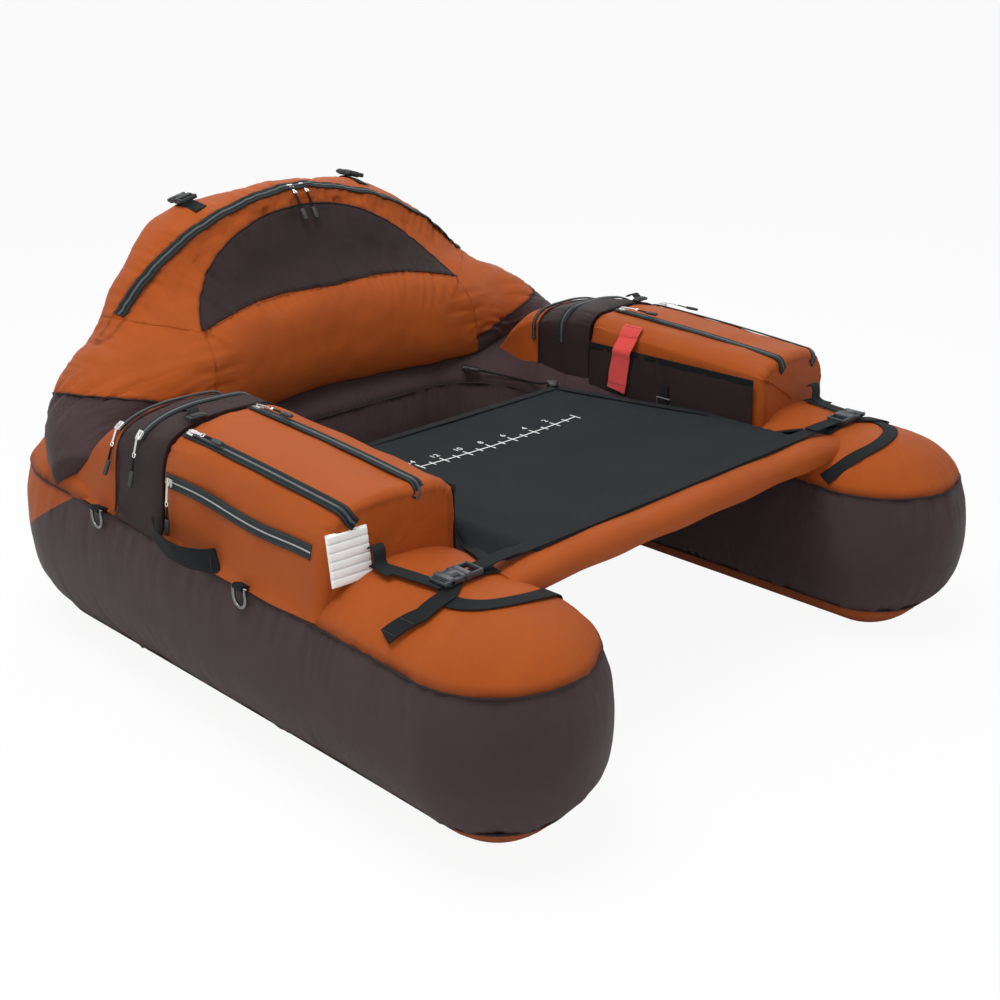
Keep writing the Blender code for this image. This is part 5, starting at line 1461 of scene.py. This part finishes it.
# %% Apron panel
APRON_FRONT, APRON_REAR, APRON_SAG = -0.452, 0.045, 0.012
APRON_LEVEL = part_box("apron_panel")[1].z
DRAPE_START, DRAPE_RUN, SHEET_WALL = 0.312, 0.03, 0.0018
APRON_EDGE = ((0.0, 0.412), (0.05, 0.393), (0.12, 0.370), (0.236, 0.341), (0.42, 0.309), (0.7, 0.276), (1.0, 0.245))
APRON_SIDE = smooth_points(APRON_EDGE, 101)


def apron_half(along):
    return float(np.interp(along, APRON_SIDE[:, 0], APRON_SIDE[:, 1]))


def apron_place(across, along, lift=0.0):
    """Flat between the armrests with a slight sag, and down over the pontoons at its front corners."""
    width = 2 * apron_half(along)
    sag = APRON_SAG * math.sin(math.pi * across) * math.sin(math.pi * along)
    x, y = width * (across - 0.5), mix(APRON_FRONT, APRON_REAR, along)
    level = APRON_LEVEL - sag
    over = max(0.0, abs(x) - DRAPE_START) / DRAPE_RUN
    if over:
        rest = min(level, pontoon_top(x, y) + 0.0045)
        level = mix(level, rest, min(1.0, over) ** 1.5)
    return Vector((x, y, level + lift))


apron = cloth_sheet(70, 50, apron_place, (0.71, 0.5))
slacken(apron, 0.0016, 0.10, 61.0)
made = piece("apron_cloth", apron, CHARCOAL, replaces=("apron_panel",))
thicken(made, SHEET_WALL)

# %% Apron binding
BINDING_WIDTH, BINDING_START, BINDING_LIFT = 0.016, 0.09, 0.0012
for label, across, shift in (("left", 1.0, -BINDING_WIDTH / 2), ("right", 0.0, BINDING_WIDTH / 2)):
    edge = [apron_place(across, mix(BINDING_START, 1, share), BINDING_LIFT) + shift * ACROSS for share in shares(30)]
    webbing("apron_binding_" + label, edge, ACROSS, BINDING_WIDTH)
edge = [apron_place(share, 1.0, BINDING_LIFT) - BINDING_WIDTH / 2 * ALONG for share in shares(30)]
webbing("apron_binding_rear", edge, ALONG, BINDING_WIDTH)

# %% Printed ruler
INCH, RULER_START_X, RULER_Y, RULER_TICKS = 0.0254, 0.151, -0.092, 14
INK_LIFT, INK_FILM, LINE_WIDTH, TICK_WIDTH, TICK_LENGTHS = 0.0009, 0.0004, 0.0024, 0.0022, (0.024, 0.017)
NUMBER_SIZE, NUMBER_GAP = 0.017, 0.015


def ruler_spot(inches, y=RULER_Y):
    """A place on the apron by its inches along the ruler."""
    x = RULER_START_X - inches * INCH
    along = (y - APRON_FRONT) / (APRON_REAR - APRON_FRONT)
    return apron_place(x / (2 * apron_half(along)) + 0.5, along, INK_LIFT)


bars = [block((TICK_WIDTH, TICK_LENGTHS[number % 2], INK_FILM), ruler_spot(number))
        for number in range(RULER_TICKS + 1)]
line = [ruler_spot(RULER_TICKS * share) for share in shares(42)]
bars.append(strap(line, ALONG, LINE_WIDTH, INK_FILM, steps=1))
piece("ruler_scale", joined(bars), INK)

for number in range(2, RULER_TICKS + 1, 2):
    text = bpy.data.curves.new("ruler_number", "FONT")
    text.body, text.size, text.extrude = str(number), NUMBER_SIZE, INK_FILM / 2
    text.align_x, text.align_y = "CENTER", "BOTTOM"
    maker = link("ruler_number", text)
    bpy.context.view_layer.update()
    piece("ruler_number_%d" % number, set_down(applied(maker), None, ruler_spot(number, RULER_Y + NUMBER_GAP)), INK)
print("ruler of", RULER_TICKS, "inches")

# %% [markdown]
# ## Front webbing, spreader and buckles
# Webbing along the apron's front edge ends in a side-release buckle on each pontoon. Below it a
# padded sleeve holds the pontoons apart with a bar inside.

# %% Front webbing and spreader sleeve
WEB, WEB_REACH = 0.025, 0.372
FRONT_Y = APRON_FRONT + WEB / 2


def middle_level(node_name):
    low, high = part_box(node_name)
    return (low.z + high.z) / 2


WEB_Z, BUCKLE_Z = middle_level("apron_webbing"), middle_level("front_buckle_plug_left")
path = [(x, FRONT_Y, WEB_Z + 0.0006) for x in np.linspace(-WEB_REACH, WEB_REACH, 60)]
webbing("apron_front_webbing", path, ALONG, WEB, WEB_WALL, replaces=("apron_webbing",))

SLEEVE_HALF, SLEEVE_Y, SLEEVE_DEPTH, SLEEVE_HEIGHT = 0.385, -0.45, 0.035, 0.025
SLEEVE_Z = APRON_LEVEL - 0.0023 - SLEEVE_HEIGHT


def sleeve_place(across, along):
    y, up = rounded_oblong(math.tau * across, SLEEVE_DEPTH, SLEEVE_HEIGHT, 2.3)
    x = mix(-SLEEVE_HALF, SLEEVE_HALF, along)
    droop = 0.008 * max(0.0, (abs(x) - 0.30) / 0.08) ** 2
    return Vector((x, SLEEVE_Y + y, SLEEVE_Z + up * (1 - 0.02 * math.sin(9 * x + y * 30)) - droop))


sleeve = seal(cloth_sheet(40, 110, sleeve_place, (0.2, 2 * SLEEVE_HALF), lambda a, b: (b * 2 * SLEEVE_HALF, 0.02)))
slacken(sleeve, 0.003, 0.05, 67.0, (0.6, 1, 1))
piece("spreader_sleeve_cover", sleeve, ORANGE, replaces=("spreader_sleeve",))

# %% Seat sling
SEAT_FRONT_Y, SEAT_LENGTH, SEAT_LEVEL, SEAT_SAG = -0.04, 0.30, 0.155, 0.075


def seat_half_width(y):
    turn = max(0.0, y - (INNER_REAR_Y - INNER_CORNER))
    return INNER_X - INNER_CORNER + math.sqrt(INNER_CORNER ** 2 - turn ** 2) - 0.002


def seat_place(across, along):
    y = SEAT_FRONT_Y + SEAT_LENGTH * along
    sag = SEAT_SAG * (1 - abs(2 * across - 1) ** 2.2)
    return Vector((seat_half_width(y) * (2 * across - 1), y, SEAT_LEVEL - sag + 0.02 * along))


seat = cloth_sheet(80, 40, seat_place, (0.6, 0.3))
slacken(seat, 0.002, 0.07, 71.0)
made = piece("seat_sling_cloth", seat, DEEP, replaces=("seat_sling",))
thicken(made, SHEET_WALL)

# %% [markdown]
# ## Rings, handles and straps
# Webbing is woven flat and stiff, so it keeps its width and only bends one way. Each strap is a
# flat strip carried along a line that lies on the cloth, and a row of stitches shows where it is sewn.

# %% Ring tabs and D-rings
WALL_X = HULL_WIDTH / 2 - SEAM_INSET
RING_SPOTS = (("front", -0.158), ("rear", 0.221))
RING_STAND_OFF, RING_WIRE, RING_WIDTH, RING_DROP, TAB_WIDTH = 0.0135, 0.0042, 0.032, 0.030, 0.022
TAB_RADIUS, RING_HALF = RING_WIRE / 2 + 0.0018, (RING_WIDTH - RING_WIRE) / 2
TAB_TURNS = [math.radians(110 - 220 * share) for share in shares(12)]


def ring_loop(axis):
    """A D-ring's centre line, hanging from its axis."""
    loop = [Vector((0, share * RING_HALF, 0)) for share in np.linspace(-1, 1, 9)]
    loop += [Vector((0, RING_HALF * math.cos(turn), RING_HALF - RING_DROP - RING_HALF * math.sin(turn)))
             for turn in np.linspace(0, math.pi, 17)]
    return [axis + point for point in loop]


for name, side in SIDES:
    for end, y in RING_SPOTS:
        label = "%s_%s" % (end, name)
        axis = Vector((side * (WALL_X + RING_STAND_OFF), y, seam_height(y) + RING_STAND_OFF / 2))
        shifts = [(-side * 0.0170, 0, -0.0020)]
        shifts += [(side * TAB_RADIUS * math.cos(turn), 0, TAB_RADIUS * math.sin(turn)) for turn in TAB_TURNS]
        path = smooth_points(near(axis, shifts + [(-side * 0.0165, 0, -0.0052)]), 40)
        webbing("ring_tab_" + label, path, ALONG, TAB_WIDTH, 0.0015, replaces=("d_ring_tab_" + label,))
        ring = cord_tube(ring_loop(axis), RING_WIRE / 2 + 0.0006, 10, closed=True)
        piece("d_ring_wire_" + label, ring, STEEL, body="d_ring_" + label, replaces=("d_ring_" + label,))
        row = near(axis, [(-side * 0.0095, TAB_WIDTH * (share - 0.5) * 0.9, 0.0026) for share in shares(8)])
        stitch_row("ring_tab_stitch_" + label, row, UP)

# %% Carry handles
HANDLE_FRONT, HANDLE_LENGTH, HANDLE_WIDTH, HANDLE_ARCH = -0.095, 0.165, 0.036, 0.0215
for name, side in SIDES:
    path, flats = [], []
    for share in shares(40):
        y = HANDLE_FRONT + HANDLE_LENGTH * share
        arch = max(0.0, math.sin(math.pi * share)) ** 0.8
        level = seam_height(y) + HANDLE_WIDTH / 2 + 0.004 - 0.008 * arch
        path.append(Vector((side * (WALL_X + 0.0032 + HANDLE_ARCH * arch), y, level)))
        flats.append(Vector((side * 0.28 * arch, 0, 1)))
    handle = strap(path, flats, HANDLE_WIDTH, 0.0030, steps=10)
    slacken(handle, 0.0012, 0.03, 83.0 + side)
    piece("carry_handle_strap_" + name, handle, WEBBING, replaces=("carry_handle_" + name,))
    for end, here in (("a", 2), ("b", 38)):
        row = near(path[here], [(side * 0.0019, 0, HANDLE_WIDTH * (share - 0.5) * 0.85) for share in shares(10)])
        stitch_row("carry_handle_stitch_%s_%s" % (end, name), row, side * ACROSS)

# %% A side-release buckle
# Each row is a block's size, its place, its rounded edge (a share of the height) and its segments, and
# every length is a share of the buckle's own. X runs from the mouth at 0, Y across and Z up.
SOCKET_BLOCKS = (
    ((0.62, 0.50, 1.0), (0.31, 0, 0), 0.22, 3), ((0.20, 1.0, 0.96), (0.10, 0, 0), 0.22, 3),
    ((0.30, 1.0, 0.96), (0.66, 0, 0), 0.22, 3), ((1.0, 0.13, 0.62), (0.5, -0.435, 0), 0.16, 2),
    ((1.0, 0.13, 0.62), (0.5, 0.435, 0), 0.16, 2), ((0.07, 1.0, 0.40), (0.83, 0, 0), 0.12, 2),
    ((0.07, 1.0, 0.40), (0.965, 0, 0), 0.12, 2), ((0.34, 0.34, 0.14), (0.34, 0, 0.50), 0.05, 2))
SHOULDER_BLOCKS = (
    ((0.34, 1.0, 1.0), (-0.17, 0, 0), 0.24, 3), ((0.12, 1.0, 0.7), (-0.94, 0, 0), 0.16, 2),
    ((0.80, 0.12, 0.72), (-0.60, -0.44, 0), 0.16, 2), ((0.80, 0.12, 0.72), (-0.60, 0.44, 0), 0.16, 2))


def moulded(size, rows):
    """Rounded blocks from rows of shares of one size."""
    return [block([a * b for a, b in zip(own, size)], [a * b for a, b in zip(place, size)], None, edge * size[2],
                  segments) for own, place, edge, segments in rows]


def buckle_socket(size):
    """The socket: two shells held by rails, open at the sides for the prongs, with a ladder end."""
    return joined(moulded(size, SOCKET_BLOCKS))


def buckle_plug(size, reach):
    """The plug: a shoulder with a webbing bar behind it, and two prongs that reach into the socket."""
    parts = moulded(size, SHOULDER_BLOCKS)
    _, width, height = size
    for sign in (-1, 1):
        parts.append(block((reach, width * 0.13, height * 0.40), (reach / 2 - 0.001, sign * width * 0.27, 0), None,
                           height * 0.10))
        parts.append(block((reach * 0.45, width * 0.20, height * 0.44), (reach * 0.66, sign * width * 0.34, 0), None,
                           height * 0.14, 3))
    return joined(parts)


# %% Front buckles
SOCKET_SIZE, PLUG_SIZE, PRONG_REACH = (0.036, 0.034, 0.012), (0.030, 0.034, 0.012), 0.022
for name, side in SIDES:
    mouth = Vector((side * RIDGE_X, FRONT_Y, middle_level("front_buckle_socket_" + name)))
    turn = basis(side * ACROSS, side * ALONG, UP)
    socket = set_down(buckle_socket(SOCKET_SIZE), turn, mouth)
    piece("front_buckle_shell_" + name, socket, GREY_PLASTIC, replaces=("front_buckle_socket_" + name,))
    plug_node = "front_buckle_plug_" + name
    plug = set_down(buckle_plug(PLUG_SIZE, PRONG_REACH), turn, mouth - side * 0.0003 * ACROSS)
    piece("front_buckle_prongs_" + name, plug, GREY_PLASTIC, body=plug_node, replaces=(plug_node,))
    over = WEB_Z + 0.0034
    tail = [(side * x, FRONT_Y, mix(over, BUCKLE_Z, share))
            for x, share in ((0.345, 0), (0.374, 0), (0.400, 0.6), (0.4192, 1))]
    webbing("front_buckle_web_" + name, smooth_points(tail, 16), ALONG, 0.024, body=plug_node)

# %% Tip straps
TIP_REACH = PONTOON_RADIUS - SEAM_INSET
TAIL_STOPS = ((-0.3, 0.0), (0.05, 0.0), (0.3, -0.022), (0.6, -0.022), (0.88, 0.004))
BRACE_STOPS = (
    (0.35, -0.012), (0.31, -0.046), (0.16, -0.074), (-0.10, -0.090), (-0.40, -0.092), (-0.70, -0.076), (-0.96, -0.050))
LOOP_STOPS = (
    (0, 0.002, 0.030), (0, -0.004, 0.034), (0, -0.010, 0.028), (0, -0.011, 0.012), (0, -0.020, 0.005),
    (0, -0.038, 0.004))
TAIL_WEB, BRACE_WEB, LINK_WEB = 0.027, 0.024, 0.021


def over_tip(side, share, y, lift=THIN_WALL):
    """A place over a pontoon's crown: share is -1 at the inner seam and 1 at the outer seam."""
    def top_at(across, along):
        past = min(0.0, along - TIP_Y) / TIP_REACH
        return crown_height(max(along, TIP_Y), math.hypot(across, past))

    low = top_at(share, y)
    rise = (top_at(share + 0.02, y) - low) / (0.02 * TIP_REACH)
    dip = (top_at(share, y + 0.003) - low) / 0.003
    normal = Vector((-side * rise, -dip, 1)).normalized()
    return Vector((side * (RIDGE_X + share * TIP_REACH), y, low)) + normal * lift


def brace_flats(side, brace):
    """The way across the brace at each of its points, level with the cloth below."""
    flats = []
    for here, heading in zip(brace, headings(brace)):
        share = (abs(here.x) - RIDGE_X) / TIP_REACH
        slope = over_tip(side, min(0.99, share + 0.03), here.y) - over_tip(side, share, here.y)
        normal = ALONG.cross(slope).normalized()
        flats.append(heading.cross(normal if normal.z > 0 else -normal).normalized())
    return flats


for name, side in SIDES:
    cross = []
    for share in np.linspace(-0.3, 0.88, 44):
        shift = float(np.interp(share, *zip(*TAIL_STOPS)))
        cross.append(over_tip(side, share, FRONT_Y + shift, 0.0030 + 0.0015 * max(0.0, share)))
    webbing("tip_strap_web_" + name, cross, ALONG, TAIL_WEB, WEB_WALL, replaces=("tip_strap_" + name,))
    for label, number in (("a", -2), ("b", -7)):
        row = near(cross[number], [(0, 0.024 * (share - 0.5), 0.0015) for share in shares(8)])
        stitch_row("tip_strap_stitch_%s_%s" % (label, name), row, Vector((side * 0.5, 0, 1)).normalized())

    brace = [over_tip(side, share, FRONT_Y + shift) for share, shift in BRACE_STOPS]
    brace = [Vector(point) for point in smooth_points(brace, 50)]
    webbing("tip_strap_brace_" + name, brace, brace_flats(side, brace), BRACE_WEB, WEB_WALL)

    rise = [over_tip(side, mix(0.36, 0.22, share), mix(POCKET_FRONT + 0.004, FRONT_Y - 0.006, share), 0.0056)
            for share in shares(14)]
    tab = near(over_tip(side, 0.38, POCKET_FRONT, 0.002), LOOP_STOPS)
    for label, line, count in (("link", rise, 26), ("tab", tab, 30)):
        webbing("tip_strap_%s_%s" % (label, name), smooth_points(line, count), ACROSS, LINK_WEB, WEB_WALL, GREY_WEB)

# %% Dome straps and buckles
DOME_STRAP_ANGLE, DOME_STRAP_RUN = math.radians(19), 0.165
DOME_SOCKET, DOME_PLUG, DOME_REACH = (0.026, 0.034, 0.011), (0.020, 0.034, 0.011), 0.018
for name, side in SIDES:
    angle = side * DOME_STRAP_ANGLE
    spots, normals = [], []
    for share in shares(30):
        place = dome_point(angle, BACK_END - 0.010 - DOME_STRAP_RUN * share)
        hit, normal, _, _ = BACK_TREE.find_nearest(place)
        away = place - arch_place(angle, ARCH_RADIUS - 0.16, 0.02)
        normals.append(normal if normal.dot(away) > 0 else -normal)
        spots.append(hit)
    for _ in range(6):
        around = zip(normals[:1] + normals[:-1], normals, normals[1:] + normals[-1:])
        normals = [(before + 2 * here + after).normalized() for before, here, after in around]
    tangent = math.cos(angle) * ACROSS - math.sin(angle) * ARCH_UP
    lifted = [spot + normal * 0.0022 for spot, normal in zip(spots, normals)]
    webbing("dome_strap_web_" + name, smooth_points(lifted[::5], 40), tangent, WEB, WEB_WALL,
            replaces=("dome_strap_" + name,))
    way = (spots[9] - spots[1]).normalized()
    across = normals[5].cross(way).normalized()
    up = way.cross(across)
    both = joined([buckle_socket(DOME_SOCKET), buckle_plug(DOME_PLUG, DOME_REACH)])
    set_down(both, basis(way, across, up), spots[5] + up * 0.0095)
    piece("dome_buckle_shell_" + name, both, PLASTIC, replaces=("dome_buckle_" + name,))

# %% [markdown]
# ## Inner pockets, flag and fly patch
# A flat pocket lies on each armrest's inner side, with a bound edge and a divider. A coral flag hangs
# over the left one for a signal, and a ribbed foam patch for flies sits on the right armrest's front.

# %% Flat inner pockets
FLAT_FRONT, FLAT_LENGTH, FLAT_FOOT, FLAT_HEIGHT, FLAT_DIVIDER = -0.322, 0.372, 0.3090, 0.0940, 0.52
FLAT_STAND_OFF, FLAT_BULGE, FLAT_WALL = 0.0095, 0.0045, 0.0012


def flat_place(side, across, along):
    """The pocket's cloth, bulging on each side of its divider."""
    half = across / FLAT_DIVIDER if across < FLAT_DIVIDER else (across - FLAT_DIVIDER) / (1 - FLAT_DIVIDER)
    bulge = math.sin(math.pi * half) ** 0.6 * math.sin(math.pi * min(1.0, along * 0.85 + 0.1)) ** 0.7
    x = side * (POCKET_X - FLAT_STAND_OFF - FLAT_BULGE * bulge)
    return Vector((x, FLAT_FRONT + FLAT_LENGTH * across, FLAT_FOOT + FLAT_HEIGHT * along))


def flat_seams(across, along):
    return across * FLAT_LENGTH, (1 - along) * 0.09 + 0.002


for name, side in SIDES:
    flat = cloth_sheet(80, 26, lambda across, along: flat_place(side, across, along), (FLAT_LENGTH, FLAT_HEIGHT),
                       flat_seams)
    gather(flat, 0.0028, 0.022, 0.018, 89.0 + side)
    made = piece("inner_pocket_cloth_" + name, flat, DEEP, replaces=("inner_pocket_" + name,))
    thicken(made, FLAT_WALL, 0)
    rim = [flat_place(side, share, 1.0) + Vector((-side * 0.0010, 0, -0.004)) for share in shares(40)]
    webbing("inner_pocket_binding_" + name, rim, UP, 0.011, 0.0020)
    line = [flat_place(side, FLAT_DIVIDER, share) - side * 0.0006 * ACROSS for share in shares(20)]
    stitch_row("inner_pocket_divider_" + name, line, -side * ACROSS)

# %% Small rings on the inner pockets
RING_Y, SMALL_RADIUS, SMALL_WIRE = -0.136, 0.015, 0.0017
for name, side in SIDES:
    spot = Vector((side * (POCKET_X - 0.0165), RING_Y, FLAT_FOOT + 0.026))
    tab = near(spot, ((side * 0.002, 0, 0.024), (0, 0, 0.014), (-side * 0.001, 0, 0.002)))
    webbing("inner_ring_tab_" + name, smooth_points(tab, 12), ALONG, 0.016, 0.0015)
    bow = [(-SMALL_RADIUS * math.cos(turn), -0.009 - SMALL_RADIUS * math.sin(turn))
           for turn in np.linspace(0, math.pi, 9)]
    ring = near(spot, [(-side * 0.001, y, z) for y, z in [(SMALL_RADIUS, 0), (-SMALL_RADIUS, 0)] + bow])
    piece("inner_ring_" + name, cord_tube(ring, SMALL_WIRE, 8, closed=True), STEEL)

# %% Signal flag
FLAG_X, FLAG_Y, FLAG_SLANT, FLAG_WIDTH, FLAG_TOP, FLAG_FOOT = 0.3325, -0.040, 0.014, 0.042, 0.405, 0.3280
flag_path = [pocket_point(1, share, FLAG_Y, 0.0085) for share in np.linspace(0.225, 0.12, 12)]
for step in range(7):
    flag_path.append(Vector((FLAG_X, FLAG_Y + FLAG_SLANT * (step + 1) / 7, mix(FLAG_TOP, FLAG_FOOT, step / 6))))
flag = strap(smooth_points(flag_path, 60), ALONG, FLAG_WIDTH, WEB_WALL, steps=12)
slacken(flag, 0.0014, 0.03, 97.0)
piece("safety_flag_web", flag, CORAL, replaces=("safety_flag",))
for label, number, lift in (("top", 2, UP), ("foot", 17, -ACROSS)):
    spot = flag_path[number] + lift * 0.0016
    row = near(spot, [(0, FLAG_WIDTH * (share - 0.5) * 0.88, 0) for share in shares(12)])
    stitch_row("safety_flag_stitch_" + label, row, lift)

# %% Ribbed fly patch
PATCH_TURN = Matrix.Rotation(-math.atan2(FRONT_SWEEP, POCKET_WIDTH), 4, "Z") @ Matrix.Rotation(-math.radians(8), 4, "X")
PATCH_SIZE, RIB_SIZE, RIB_TOP, RIB_PITCH = (0.063, 0.0034, 0.072), (0.0620, 0.0050, 0.0108), 0.0292, 0.0117
low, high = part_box("fly_patch")
parts = [block(PATCH_SIZE, (0, 0.0012, 0), None, 0.0010)]
parts += [block(RIB_SIZE, (0, -0.0008, RIB_TOP - number * RIB_PITCH), None, 0.0024, 4) for number in range(6)]
patch = set_down(joined(parts), PATCH_TURN, (low + high) / 2 + Vector((-0.007, 0, -0.006)))
piece("fly_patch_foam", patch, FOAM, replaces=("fly_patch",))

# %% [markdown]
# ## Elastic cords of the apron
# A thin elastic cord holds each rear corner of the apron. It runs from a toggle at the corner over
# the hull's inner edge to a clip near the cushion, pulled tight, so it follows the cloth closely.

# %% Apron cords, toggles and clips
CORD_DIAMETER = 0.0036
CORD_STOPS = ((0.262, 0.300, 0.3190), (0.288, 0.272, 0.3130), (0.308, 0.235, 0.3070), (0.316, 0.195, 0.3050),
              (0.308, 0.150, 0.3100), (0.288, 0.105, 0.3240), (0.262, 0.070, 0.3360), (0.240, 0.046, 0.3420))
CLIP_SIZE, CLIP_LIP, CLIP_LIFT = (0.015, 0.034, 0.009), (0.021, 0.009, 0.012), 0.001
for name, side in SIDES:
    route = smooth_points([(side * x, y, z) for x, y, z in CORD_STOPS], 36).tolist()
    length = length_of([Vector(point) for point in route])
    cord = piece("apron_cord_" + name, cord_tube(route, CORD_DIAMETER / 2, 8), WEBBING)
    clips = []
    for here, ahead, behind in ((1, 0, 2), (-3, -5, -1)):
        along = (Vector(route[ahead]) - Vector(route[behind])).normalized()
        across = along.cross(UP).normalized()
        turn = basis(across, along, across.cross(along))
        point = Vector(route[here]) + CLIP_LIFT * UP
        clips.append(block(CLIP_SIZE, point, turn, 0.0026, 3))
        clips.append(block(CLIP_LIP, point + along * 0.008, turn, 0.0022, 3))
    ends = piece("apron_cord_clips_" + name, joined(clips), PLASTIC)
    print("apron cord", name, round(length, 3), "m")

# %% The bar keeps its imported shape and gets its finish
for name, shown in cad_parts.items():
    if name.startswith("spreader_bar"):
        shown.data.materials.clear()
        shown.data.materials.append(ALUMINIUM)
